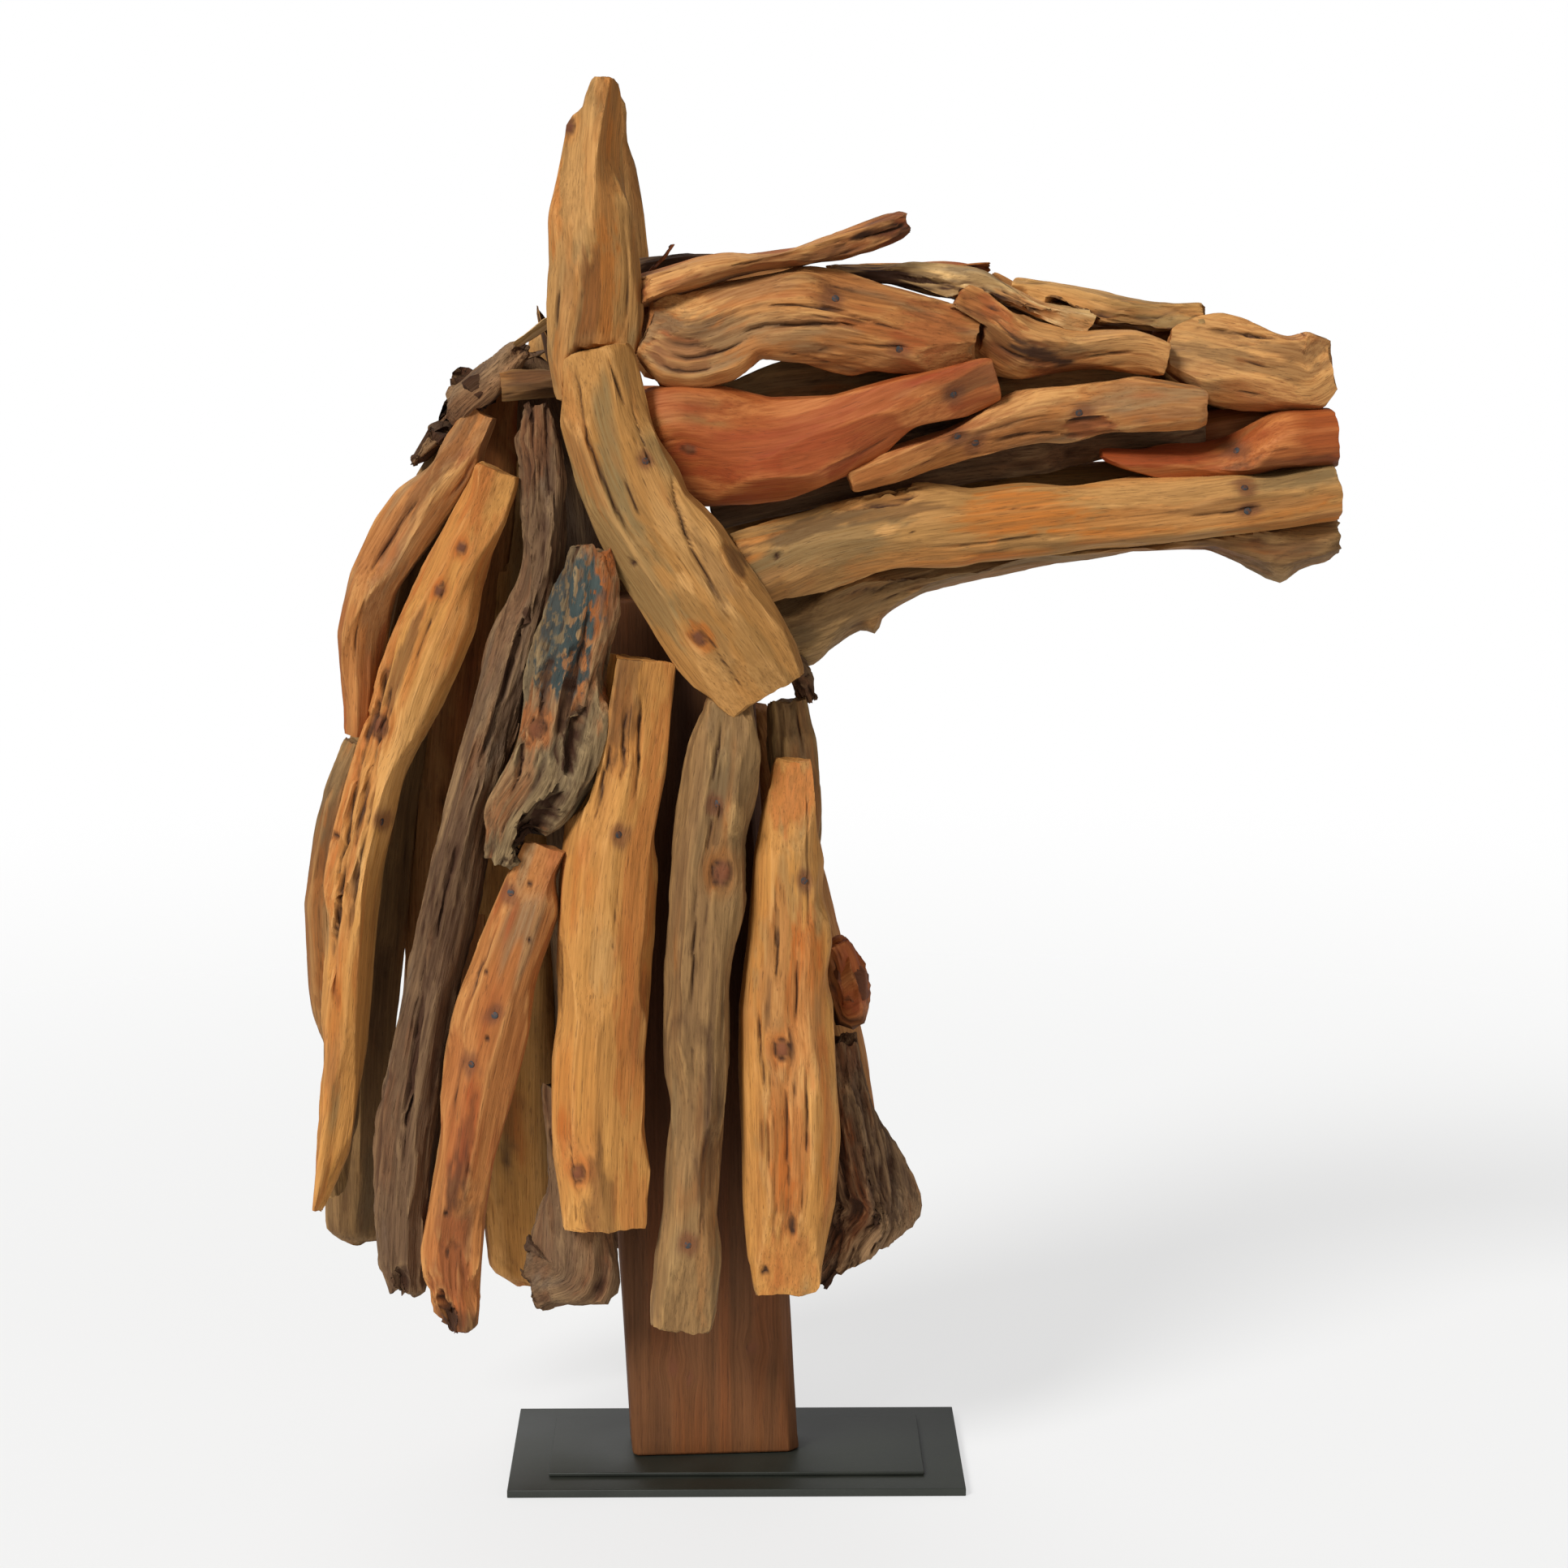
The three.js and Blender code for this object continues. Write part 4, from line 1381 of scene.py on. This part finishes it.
        # The grid has the first column again after the last, and merging closes the seam.
        wrapped = {name: np.hstack([net, net[:, :1]]) for name, net in vectors.items()}
        mesh.vertices.foreach_set("co", np.hstack([place, place[:, :1]]).ravel())
        keep_vectors(mesh, wrapped)
        bpy.ops.object.mode_set(mode="EDIT")
        bpy.ops.mesh.select_all(action="SELECT")
        bpy.ops.mesh.remove_doubles(threshold=0.002 * MM)
        bpy.ops.mesh.normals_make_consistent(inside=False)
        bpy.ops.object.mode_set(mode="OBJECT")
        bpy.ops.object.shade_smooth_by_angle(angle=WOOD_SMOOTH)
        return piece


# ---------------------------------------------------------------- sub-assemblies


@dataclass
class HeadSide:
    """The sticks that make the near side of the head, and their plainer twins on the far side."""

    far_fine: float = 1.7
    far_long: float = 5.0
    sticks: tuple[Stick, ...] = (
        Stick("ear", Wood.TAN, Wear.HEWN, (
            Hewn(0.1, 150, 5, -4, 26), Hewn(0.13, 40, 4, 3, 24), Hewn(0.5, 120, 2.5, 2, 45),
            Bite(0.13, -1.0, 4, 4, 3), Knot(0.17, 0.85, 3), StainAndPaintedLight(WARM, 0.69, -0.05, 38, 9, 0.9),
            StainAndPaintedLight(GREY, 0.89, 0.65, 26, 11, 0.8), StainAndPaintedLight(WARM, 0.33, 0.95, 32, 4, 1.0),
            StainAndPaintedLight(LIGHT, 0.3, 0.3, 40, 8, 0.5), Crack(((0.45, -0.55), (0.72, -0.6)), 0.7, 1.4),
        ), blunt=(0.2, 0.4)),
        Stick("temple_strap", Wood.HONEY, Wear.HEWN, (
            Hewn(0.08, 60, 5, -14, 22), Hewn(0.93, 75, 6, 16, 26), Hewn(0.5, 40, 3, 0, 60),
            Crack(((0.02, 0.55), (0.21, 0.47), (0.48, 0.34)), 1.3, 3.5),
            Crack(((0.03, -0.36), (0.16, -0.48)), 1.1, 3),
            Crack(((0.37, -0.88), (0.58, -0.35), (0.79, -0.3)), 1.4, 4),
            Crack(((0.3, 0.05), (0.5, 0.0)), 0.7, 1.5), Nail(0.31, -0.48), Hole(0.52, 0.61, 1.7),
            StainAndPaintedLight(GREY, 0.48, 0.7, 55, 15, 0.8), StainAndPaintedLight(WARM, 0.77, 0.3, 9, 7, 1.2),
            Knot(0.77, 0.3, 3), StainAndPaintedLight(LIGHT, 0.63, 0.0, 6, 3, 1.4), Torn(0.66, -0.8, 13, 4, 1.5),
            StainAndPaintedLight(DARK, 0.66, -0.85, 9, 3, 0.6),
        )),
        Stick("forelock_plank", Wood.ORANGE, Wear.WEATHERED, (
            StainAndPaintedLight(WARM, 0.94, 0, 12, 8, 1.2), Crack(((0.8, 0.0), (0.99, 0.1)), 1.5, 5),
            StainAndPaintedLight(LIGHT, 0.35, -0.6, 45, 4, 0.8), Torn(0.7, 0.4, 22, 3, 1.2),
        ), blunt=(0.6, 0.3)),
        Stick("brow", Wood.ORANGE, Wear.WEATHERED, (
            Hewn(0.93, 60, 6, 22, 24), Hewn(0.84, 125, 5, 12, 24), Hewn(0.2, 130, 5, -8, 34),
            Nail(0.56, -0.41), Nail(0.76, 0.32),
            Crack(((0.3, 0.16), (0.52, 0.09), (0.66, -0.02)), 1.5, 4.5),
            Crack(((0.34, -0.35), (0.62, -0.2)), 0.9, 2.4),
            Crack(((0.6, 0.4), (0.8, 0.25)), 0.9, 2.4), Crack(((0.1, 0.3), (0.3, 0.35)), 1.1, 3),
            StainAndPaintedLight(GREY, 0.15, 0.1, 30, 15, 1.0), StainAndPaintedLight(LIGHT, 0.12, -0.6, 24, 7, 0.9),
            StainAndPaintedLight(WARM, 0.85, 0.1, 20, 18, 0.7), StainAndPaintedLight(GREY, 0.45, 0.2, 30, 8, 0.5),
            Torn(0.12, 0.3, 16, 9, 1.6),
        )),
        Stick("cheek", Wood.RED, Wear.SMOOTH, (
            Hewn(0.8, 65, 4, 12, 24), Hewn(0.62, 118, 2.5, 0, 40), Hewn(0.1, 70, 3, -10, 26),
            Nail(0.88, 0.06), Knot(0.19, 0.0, 2.5), StainAndPaintedLight(LIGHT, 0.8, 0.25, 16, 9, 0.7),
            # Both light patches on the next line are painted highlights: a sheen, and a lighter top
            # edge.
            StainAndPaintedLight(LIGHT, 0.24, 0.55, 20, 5, 0.6), StainAndPaintedLight(LIGHT, 0.5, -0.85, 55, 4, 0.6),
            StainAndPaintedLight(WARM, 0.4, 0.1, 50, 16, 0.6), Crack(((0.06, -0.2), (0.2, -0.15)), 0.6, 1.2),
        )),
        Stick("nose_side", Wood.ORANGE, Wear.HEWN, (
            Hewn(0.15, 130, 5, -10, 24), Hewn(0.6, 60, 3.5, 6, 30),
            StainAndPaintedLight(WARM, 0.17, -0.45, 10, 6, 1.2), Torn(0.12, -0.3, 12, 6, 1.5),
            StainAndPaintedLight(LIGHT, 0.5, -0.7, 32, 5, 0.9), StainAndPaintedLight(GREY, 0.7, -0.5, 24, 5, 0.7),
            Crack(((0.25, 0.3), (0.5, 0.2)), 1.0, 2.5), Crack(((0.6, 0.0), (0.85, -0.1)), 0.8, 2),
        )),
        Stick("mid_cheek", Wood.ORANGE, Wear.HEWN, (
            Hewn(0.8, 120, 4, 6, 30), Hewn(0.5, 60, 3, -5, 34), Nail(0.65, -0.09), Nail(0.36, 0.23),
            Nail(0.32, -0.23), Torn(0.67, 0.35, 14, 5, 2), StainAndPaintedLight(WARM, 0.67, 0.3, 12, 6, 1.2),
            StainAndPaintedLight(GREY, 0.8, -0.4, 26, 8, 0.5), StainAndPaintedLight(LIGHT, 0.5, -0.7, 40, 4, 0.7),
            Crack(((0.4, 0.3), (0.6, 0.45)), 1.0, 3),
        )),
        Stick("muzzle_top", Wood.ORANGE, Wear.HEWN, (
            Hewn(0.25, 120, 5, -8, 26), Hewn(0.75, 80, 4, 10, 26),
            StainAndPaintedLight(LIGHT, 0.28, -0.5, 34, 14, 1.5), StainAndPaintedLight(LIGHT, 0.75, -0.1, 34, 16, 1.3),
            StainAndPaintedLight(GREY, 0.3, -0.35, 18, 8, 0.7), Torn(0.3, -0.5, 18, 6, 1.4),
            Crack(((0.2, -0.6), (0.55, -0.7)), 1.2, 3), Crack(((0.4, -0.1), (0.62, -0.05)), 0.8, 2),
            StainAndPaintedLight(WARM, 0.6, 0.5, 24, 7, 0.9),
        ), blunt=(0.3, 0.6)),
        Stick("upper_lip", Wood.RED, Wear.SMOOTH, (
            Hewn(0.3, 125, 3, 6, 24), Hewn(0.85, 60, 2.5, 0, 24), Nail(0.59, 0.06),
            Bite(0.76, 0.95, 3, 3, 2), StainAndPaintedLight(LIGHT, 0.5, -0.8, 40, 3, 0.5),
        ), blunt=(0.2, 0.8)),
        Stick("jaw", Wood.TAN, Wear.HEWN, (
            Hewn(0.1, 120, 4, 3, 50), Hewn(0.32, 60, 3, -5, 40), Hewn(0.75, 75, 2.5, 0, 60),
            Bite(0.26, -1.0, 13, 5, 5), Torn(0.24, -0.75, 20, 5, 2), Hole(0.06, -0.16, 1.7),
            StainAndPaintedLight(LIGHT, 0.24, -0.14, 6, 2.5, 1.5), StainAndPaintedLight(GREY, 0.13, -0.1, 40, 17, 0.9),
            StainAndPaintedLight(WARM, 0.46, -0.3, 34, 12, 0.8), StainAndPaintedLight(WARM, 0.72, 0.15, 70, 8, 0.75),
            StainAndPaintedLight(LIGHT, 0.75, 0.1, 60, 6, 0.5), Nail(0.84, 0.16), Nail(0.84, -0.6),
            StainAndPaintedLight(GREY, 0.92, -0.7, 26, 6, 1.0), Crack(((0.27, -0.3), (0.3, 0.3)), 0.6, 1.2),
            Crack(((0.33, 0.35), (0.5, 0.3)), 0.7, 1.6),
        ), blunt=(0.9, 0.8)),
    )

    def build(self) -> None:
        """Builds the near side, and the far side from the same woods."""
        for stick in self.sticks:
            stick.build()
            replace(stick, node="far_" + stick.node, facing=Side.FAR, marks=(),
                    fine=self.far_fine, long=self.far_long).build()


@dataclass
class Crown:
    """The planks on the crown, the stick under the jaw and the boards inside the head."""

    sticks: tuple[Stick, ...] = (
        Stick("forehead_plank", Wood.PALE, Wear.WEATHERED, (
            StainAndPaintedLight(WARM, 0.75, 0.3, 14, 6, 1.2), Torn(0.72, 0.3, 20, 6, 1.6),
            Crack(((0.2, 0.2), (0.5, 0.1)), 1.0, 2.5),
        )),
        Stick("nose_top_plank", Wood.HONEY, Wear.WEATHERED, (
            StainAndPaintedLight(GREY, 0.7, 0.4, 40, 5, 0.8), Torn(0.5, 0.6, 26, 4, 1.5),
            StainAndPaintedLight(WARM, 0.3, 0.4, 16, 4, 1.0),
        )),
        Stick("ridge_strip", Wood.ORANGE, Wear.WEATHERED, (Knot(0.9, -0.4, 3, 1.5),), fine=1.2),
        Stick("poll_board", Wood.BARK, Wear.WEATHERED, fine=1.4, long=4),
        Stick("poll_splinter", Wood.RED, Wear.WEATHERED, fine=0.8, long=1.5, blunt=(0.5, 0)),
        Stick("poll_log", Wood.GREY, Wear.HEWN),
        Stick("poll_strip", Wood.PALE, Wear.HEWN, fine=0.8, long=2),
        Stick("poll_spike", Wood.HONEY, Wear.HEWN, fine=0.8, long=2, blunt=(0, 0.5)),
        Stick("crest_bark", Wood.BARK, Wear.BARKED),
        Stick("crest_chip", Wood.ROUGH, Wear.ROUGH_SPLIT),
        Stick("under_jaw", Wood.GREY, Wear.WEATHERED, (
            Swell(0.16, 1.0, 4, 6, 5), Swell(0.9, 1.0, 5, 8, 4), StainAndPaintedLight(GREY, 0.4, 0.3, 70, 8, 0.6),
        ), fine=1.2, long=3.2),
        Stick("eye_board", Wood.GREY, Wear.WEATHERED, fine=1.3, long=4),
        Stick("jaw_board", Wood.ROUGH, Wear.WEATHERED, fine=1.6, long=4),
    )

    def build(self) -> None:
        """Builds each of them."""
        for stick in self.sticks:
            stick.build()


@dataclass
class Neck:
    """The staves that hang round the post, near and far."""

    far_fine: float = 1.6
    far_long: float = 4.5
    far_woods: tuple[Wood, ...] = (
        Wood.GREY, Wood.ORANGE, Wood.GOLDEN, Wood.ROUGH, Wood.HONEY, Wood.GREY, Wood.ORANGE)
    sticks: tuple[Stick, ...] = (
        Stick("stave_painted", Wood.PAINTED, Wear.ROUGH_SPLIT, (
            Bite(0.57, -0.4, 15, 5, 9), Bite(0.84, -0.5, 22, 8, 10),
            StainAndPaintedLight(PAINT, 0.2, 0.3, 26, 15, 1.2), StainAndPaintedLight(PAINT, 0.37, 0.2, 18, 14, 1.0),
            Knot(0.56, 0.34, 4), StainAndPaintedLight(WARM, 0.56, 0.34, 9, 9, 1.2),
            StainAndPaintedLight(WARM, 0.34, -0.9, 32, 4, 1.2), Hole(0.42, -0.1, 2.5, 3),
            Torn(0.45, 0.0, 26, 14, 2), Crack(((0.2, -0.1), (0.5, -0.15)), 1.5, 4),
            Crack(((0.55, 0.6), (0.8, 0.5)), 1.4, 4),
        )),
        Stick("stave_short", Wood.ORANGE, Wear.HEWN, (
            Hewn(0.05, 80, 4, -12, 22), Hewn(0.6, 60, 3, 2, 60), Hewn(0.4, 125, 3, 0, 60),
            Bite(0.98, 0.5, 16, 7, 7), Nail(0.34, -0.02), Nail(0.45, 0.25), Nail(0.11, 0.6),
            Hole(0.27, 0.46, 1.1), Hole(0.3, 0.34, 1.1), Hole(0.39, -0.02, 1.2),
            Hole(0.08, 0.16, 1.3), Hole(0.18, -0.33, 1.1), Hole(0.75, 0.28, 1.2),
            StainAndPaintedLight(DARK, 1.0, 0.0, 16, 16, 0.6), Torn(0.9, 0.1, 26, 14, 2),
            Crack(((0.15, 0.6), (0.4, 0.7)), 0.9, 2),
        )),
        Stick("stave_straight", Wood.GOLDEN, Wear.HEWN, (
            Hewn(0.5, 118, 2.5, 0, 150), Hewn(0.95, 80, 4, 10, 24), Nail(0.3, -0.08),
            Knot(0.89, 0.42, 3.5, 1.2), StainAndPaintedLight(LIGHT, 0.89, 0.42, 3, 3, 1.6),
            Crack(((0.08, 0.25), (0.22, 0.08)), 1.1, 3),
            Crack(((0.06, -0.1), (0.24, -0.3)), 1.0, 2.6),
            Crack(((0.14, 0.5), (0.3, 0.42)), 1.0, 2.6), StainAndPaintedLight(WARM, 0.45, -0.55, 110, 8, 0.7),
            Torn(0.13, 0.2, 22, 10, 1.0), Crack(((0.45, 0.9), (0.7, 0.85)), 0.8, 2),
        ), blunt=(0.8, 0.7)),
        Stick("stave_long", Wood.GREY, Wear.WEATHERED, (
            Swell(0.2, -0.42, 9, 5, 3.5), StainAndPaintedLight(LIGHT, 0.2, -0.42, 9, 4, 1.2), Knot(0.28, -0.26, 5),
            Nail(0.18, 0.09), Nail(0.85, 0.03), Crack(((0.3, 0.3), (0.5, 0.2)), 1.2, 3),
            Crack(((0.05, 0.1), (0.16, 0.25)), 1.2, 3), Torn(0.25, -0.1, 20, 7, 1.8),
            Hewn(0.05, 90, 4, -10, 24), Hewn(0.9, 100, 3, 8, 40),
        )),
        Stick("stave_front", Wood.GOLDEN, Wear.HEWN, (
            Hewn(0.07, 90, 6, -14, 30), Hewn(0.93, 95, 5, 14, 28), Nail(0.22, -0.37),
            Knot(0.53, 0.13, 4), Hole(0.95, 0.6, 2.2), Torn(0.42, 0.2, 50, 11, 1.2),
            Torn(0.7, 0.0, 48, 13, 1.4), StainAndPaintedLight(GREY, 0.4, 0.1, 60, 13, 0.6),
            StainAndPaintedLight(GREY, 0.68, 0.1, 55, 13, 0.6), Crack(((0.3, 0.3), (0.42, 0.25)), 1.0, 2.6),
            Crack(((0.36, -0.2), (0.5, -0.15)), 1.0, 2.6),
            Crack(((0.45, 0.6), (0.62, 0.5)), 1.0, 2.6),
            Crack(((0.55, -0.35), (0.72, -0.3)), 1.2, 3), Crack(((0.6, 0.1), (0.78, 0.05)), 1.2, 3),
            StainAndPaintedLight(WARM, 0.06, 0, 20, 14, 0.8), StainAndPaintedLight(WARM, 0.94, 0, 18, 14, 0.5),
        )),
        Stick("stave_big", Wood.GOLDEN, Wear.HEWN, (
            Hewn(0.03, 100, 5, -10, 24), Hewn(0.75, 165, 5, 0, 90), Hewn(0.4, 40, 3.5, 0, 80),
            Torn(0.42, 0.55, 75, 8, 2.2), Torn(0.6, 0.3, 50, 5, 1.6),
            Crack(((0.3, 0.5), (0.45, 0.35)), 1.5, 4), Crack(((0.36, 0.75), (0.6, 0.6)), 1.5, 4),
            Crack(((0.42, 0.2), (0.62, 0.05)), 1.3, 3.5),
            Crack(((0.48, 0.5), (0.72, 0.4)), 1.3, 3.5),
            Crack(((0.26, 0.75), (0.4, 0.6)), 1.3, 3.5), Knot(0.36, 0.48, 4.5),
            Knot(0.11, 0.09, 2.5), Knot(0.17, 0.19, 2.5), Nail(0.47, -0.22), Hole(0.51, 0.8, 2),
            # The dark patch on the next line is painted shade, along the edge turned from the light.
            StainAndPaintedLight(WARM, 0.4, 0.85, 110, 4, 1.0), StainAndPaintedLight(DARK, 0.72, -1.0, 90, 3, 0.5),
            StainAndPaintedLight(LIGHT, 0.35, -0.3, 70, 7, 0.5),
        ), blunt=(0.8, 0.1)),
        Stick("stave_rough", Wood.ROUGH, Wear.ROUGH_SPLIT, (
            Hewn(0.05, 90, 4, -6, 26), StainAndPaintedLight(WARM, 0.05, 0.1, 22, 9, 0.8),
            StainAndPaintedLight(LIGHT, 0.44, 0.9, 30, 3, 1.2), Crack(((0.48, 0.1), (0.6, 0.2)), 1.8, 5),
            Crack(((0.2, -0.2), (0.4, 0.1)), 1.6, 5), Crack(((0.65, 0.2), (0.85, 0.0)), 1.6, 4),
            Bite(0.98, 0.0, 10, 4, 6),
        )),
        Stick("stave_behind", Wood.ROUGH, Wear.ROUGH_SPLIT, (
            Hole(0.78, -0.6, 2.5), StainAndPaintedLight(LIGHT, 0.89, -0.28, 4, 4, 1.6),
        ), fine=1.2),
        Stick("throat_stave", Wood.GREY, Wear.WEATHERED, (StainAndPaintedLight(WARM, 0.4, -0.5, 50, 5, 0.8),)),
        Stick("throat_knob", Wood.ROUGH, Wear.ROUGH_SPLIT),
        Stick("throat_block", Wood.RED, Wear.WEATHERED, (
            Hewn(0.3, 60, 4, 10, 20), Hewn(0.7, 110, 4, -10, 20),
        )),
        Stick("bark_flare", Wood.BARK, Wear.BARKED, (
            StainAndPaintedLight(LIGHT, 0.8, -0.5, 20, 6, 0.7), StainAndPaintedLight(WARM, 0.3, 0.3, 20, 8, 0.8),
            Crack(((0.2, 0.2), (0.6, 0.3)), 2.2, 6), Crack(((0.4, -0.3), (0.8, -0.4)), 2.2, 6),
        ), blunt=(0.6, 0.9)),
        Stick("nape_stave", Wood.ORANGE, Wear.HEWN, (
            Hewn(0.1, 80, 4, -12, 24), Hewn(0.5, 130, 3, 4, 40),
            StainAndPaintedLight(LIGHT, 0.21, -0.25, 12, 5, 0.8), StainAndPaintedLight(GREY, 0.34, -0.8, 34, 6, 0.9),
            Crack(((0.3, 0.2), (0.55, 0.3)), 1.0, 3),
        )),
        Stick("nape_slab", Wood.GREY, Wear.WEATHERED, (
            StainAndPaintedLight(WARM, 0.4, 0.7, 60, 6, 0.7),
        ), blunt=(0.6, 0.2)),
    )

    def build(self) -> None:
        """Builds the near staves, then the far ones."""
        for stick in self.sticks:
            stick.build()
        for i, wood in enumerate(self.far_woods, 1):
            Stick(f"far_stave_{i}", wood, Wear.WEATHERED, facing=Side.FAR,
                  fine=self.far_fine, long=self.far_long).build()


@dataclass
class Stand:
    """The squared post and the two painted steel plates. Sizes are millimetres."""

    plate_bevel: float = 0.5
    post_bevel: float = 1.6
    level: float = 5.5
    strip: float = 2.5
    knots: tuple[tuple[float, float, float], ...] = ((-34, 57, 3.0), (-25, 51, 2.4), (9, 66, 3.2))

    GRAIN = 1 / (np.array([90.0, 5.0, 5.0]) * MM)
    RELIEF_FROM = (8 * MM, 14 * MM)
    # Heights between which the post grows darker: painted shade inside the neck.
    SHADED = (130 * MM, 190 * MM)

    def build(self) -> None:
        """Builds the post and both plates."""
        self._post()
        for node in ("base_plate", "base_pad"):
            self._plate(node)

    def _post(self) -> bpy.types.Object:
        """The sawn post: a copy of the CAD post with eased edges, cut fine enough for relief.

        Returns:
            The piece.
        """
        piece = linked("post_sawn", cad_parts["post"].data.copy())
        piece.data.name = piece.name
        bpy.ops.object.select_all(action="DESELECT")
        piece.select_set(True)
        bpy.context.view_layer.objects.active = piece
        piece.data.materials.clear()
        bpy.ops.object.mode_set(mode="EDIT")
        bpy.ops.mesh.select_all(action="SELECT")
        bpy.ops.mesh.remove_doubles(threshold=0.01 * MM)
        bpy.ops.object.mode_set(mode="OBJECT")
        soften(piece, self.post_bevel * MM, 2)
        cuts = [((0, 0, i * self.level * MM), (0, 0, 1)) for i in range(3, 90)]
        cuts += [((i * self.strip * MM, 0, 0), (1, 0, 0)) for i in range(-26, 27)]
        bpy.ops.object.mode_set(mode="EDIT")
        for spot, way in cuts:
            bpy.ops.mesh.select_all(action="SELECT")
            bpy.ops.mesh.bisect(plane_co=spot, plane_no=way)
        bpy.ops.mesh.normals_make_consistent(inside=False)
        bpy.ops.object.mode_set(mode="OBJECT")
        self._raise_grain(piece.data)
        bpy.ops.object.shade_smooth_by_angle(angle=WOOD_SMOOTH)
        piece.data.materials.append(Wood.POST.value.material())
        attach(piece, "root")
        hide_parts("post")
        log.info("post: %d faces", len(piece.data.polygons))
        return piece

    def _raise_grain(self, mesh: bpy.types.Mesh) -> None:
        """Gives the post shallow relief, three knots and the tones of its wood, with painted shade on
        its upper part inside the neck.

        Args:
            mesh: the post's mesh, which is changed.
        """
        place = np.empty(len(mesh.vertices) * 3)
        mesh.vertices.foreach_get("co", place)
        place = place.reshape(-1, 3)
        ways = np.array([vertex.normal[:] for vertex in mesh.vertices])
        grain = place[:, [2, 0, 1]].copy()
        knot = np.zeros(len(place))
        for x, z, size in self.knots:
            across, along = place[:, 0] - x * MM, place[:, 2] - z * MM
            away = np.hypot(across, along / 1.4) / (size * MM)
            grain[:, 1] -= across * np.exp(-((away / 2.2) ** 2)) * 0.9
            knot = np.maximum(knot, ease(away, 1.2, 0.7))
        steps = grain * self.GRAIN
        relief = 0.25 * noise(steps, 71) + 0.15 * noise(steps * 2.3, 72) - 0.3 * knot - 0.2
        place += ways * (relief * MM * ease(place[:, 2], *self.RELIEF_FROM))[:, None]
        mesh.vertices.foreach_set("co", place.ravel())
        # Darker streaks of the wood, and painted shade that grows with height inside the neck.
        dark = 0.5 * ease(noise(steps * 0.6, 73), 0.2, 0.8) + 0.35 * ease(place[:, 2], *self.SHADED)
        warm = ease(noise(steps * 0.8, 74), -0.2, 0.8)
        none = np.zeros(len(place))
        keep_vectors(mesh, {
            "grain": grain,
            "tones": np.stack([none, warm, np.clip(dark, 0, 1)], -1),
            "traces": np.stack([none, none, knot], -1),
        })

    def _plate(self, node: str) -> bpy.types.Object:
        """A flat steel plate, its edges softened by the paint.

        Args:
            node: the CAD node that it stands for.

        Returns:
            The piece.
        """
        low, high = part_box(node)
        steel = PaintedSteel()
        bpy.ops.object.select_all(action="DESELECT")
        bpy.ops.mesh.primitive_cube_add(size=1)
        piece = bpy.context.object
        piece.name = node + "_steel"
        piece.scale = high - low
        piece.location = (low + high) / 2
        bpy.ops.object.transform_apply(location=True, rotation=True, scale=True)
        soften(piece, self.plate_bevel * MM, 3)
        bpy.ops.object.shade_smooth_by_angle(angle=math.radians(35))
        piece.data.materials.append(steel.material())
        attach(piece, "root")
        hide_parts(node)
        log.info("%s: a plate", piece.name)
        return piece


# ---------------------------------------------------------------- camera, light and floor


@dataclass(frozen=True)
class Sun:
    """A broad light from far off. Toward points at it, and spread is its width in degrees."""

    name: str
    toward: tuple[float, float, float]
    spread: float
    power: float

    def build(self) -> None:
        """Hangs the light."""
        lamp = bpy.data.lights.new(self.name, "SUN")
        lamp.angle = math.radians(self.spread)
        lamp.energy = self.power
        turn = Vector(self.toward).to_track_quat("Z", "Y").to_euler()
        linked(self.name, lamp).rotation_euler = turn


@dataclass
class Studio:
    """A pale floor, soft light and the camera. Lengths are metres and angles are degrees."""

    lens: float = 88.6
    distance: float = 2.008
    height: float = 0.7055
    tilt: float = 80.5
    yaw: float = -0.735
    floor_size: float = 30
    room_light: float = 0.24
    room_white: float = 1.0
    suns: tuple[Sun, ...] = (
        Sun("key", (-0.85, -1.0, 0.95), 20, 3.3),
        Sun("fill", (0.7, -1.0, 0.3), 50, 0.5),
        Sun("back", (-0.4, 1.0, 0.9), 50, 0.8),
    )

    def build(self) -> None:
        """Puts up the floor, the lights and the camera."""
        bpy.ops.mesh.primitive_plane_add(size=self.floor_size)
        floor = bpy.context.object
        floor.name = "floor"
        floor.data.materials.append(FloorPaper().material())
        for sun in self.suns:
            sun.build()
        self._room()
        self._camera()
        bpy.context.scene.view_settings.view_transform = "Standard"

    def _room(self) -> None:
        """A room that looks white to the camera and gives a weaker light."""
        world = bpy.data.worlds.new("pale room")
        bpy.context.scene.world = world
        world.use_nodes = True
        tree = world.node_tree
        tree.nodes.clear()
        seen = add_node(tree, "LightPath", {}, "Is Camera Ray")
        power = add_node(tree, "MapRange", {0: seen, 3: self.room_light, 4: self.room_white})
        sky = add_node(tree, "Background", {"Color": (1, 1, 1, 1), "Strength": power})
        add_node(tree, "OutputWorld", {"Surface": sky})

    def _camera(self) -> None:
        """The camera, looking a little down at the near side."""
        data = bpy.data.cameras.new("camera")
        data.lens = self.lens
        camera = linked("camera", data)
        camera.location = (0, -self.distance, self.height)
        camera.rotation_euler = (math.radians(self.tilt), 0, math.radians(self.yaw))
        bpy.context.scene.camera = camera


def main() -> None:
    """Builds the sculpture and its studio."""
    for part in (HeadSide(), Crown(), Neck(), Stand(), Studio()):
        part.build()
        log.info("%s done", type(part).__name__)


if __name__ == "__main__":
    main()
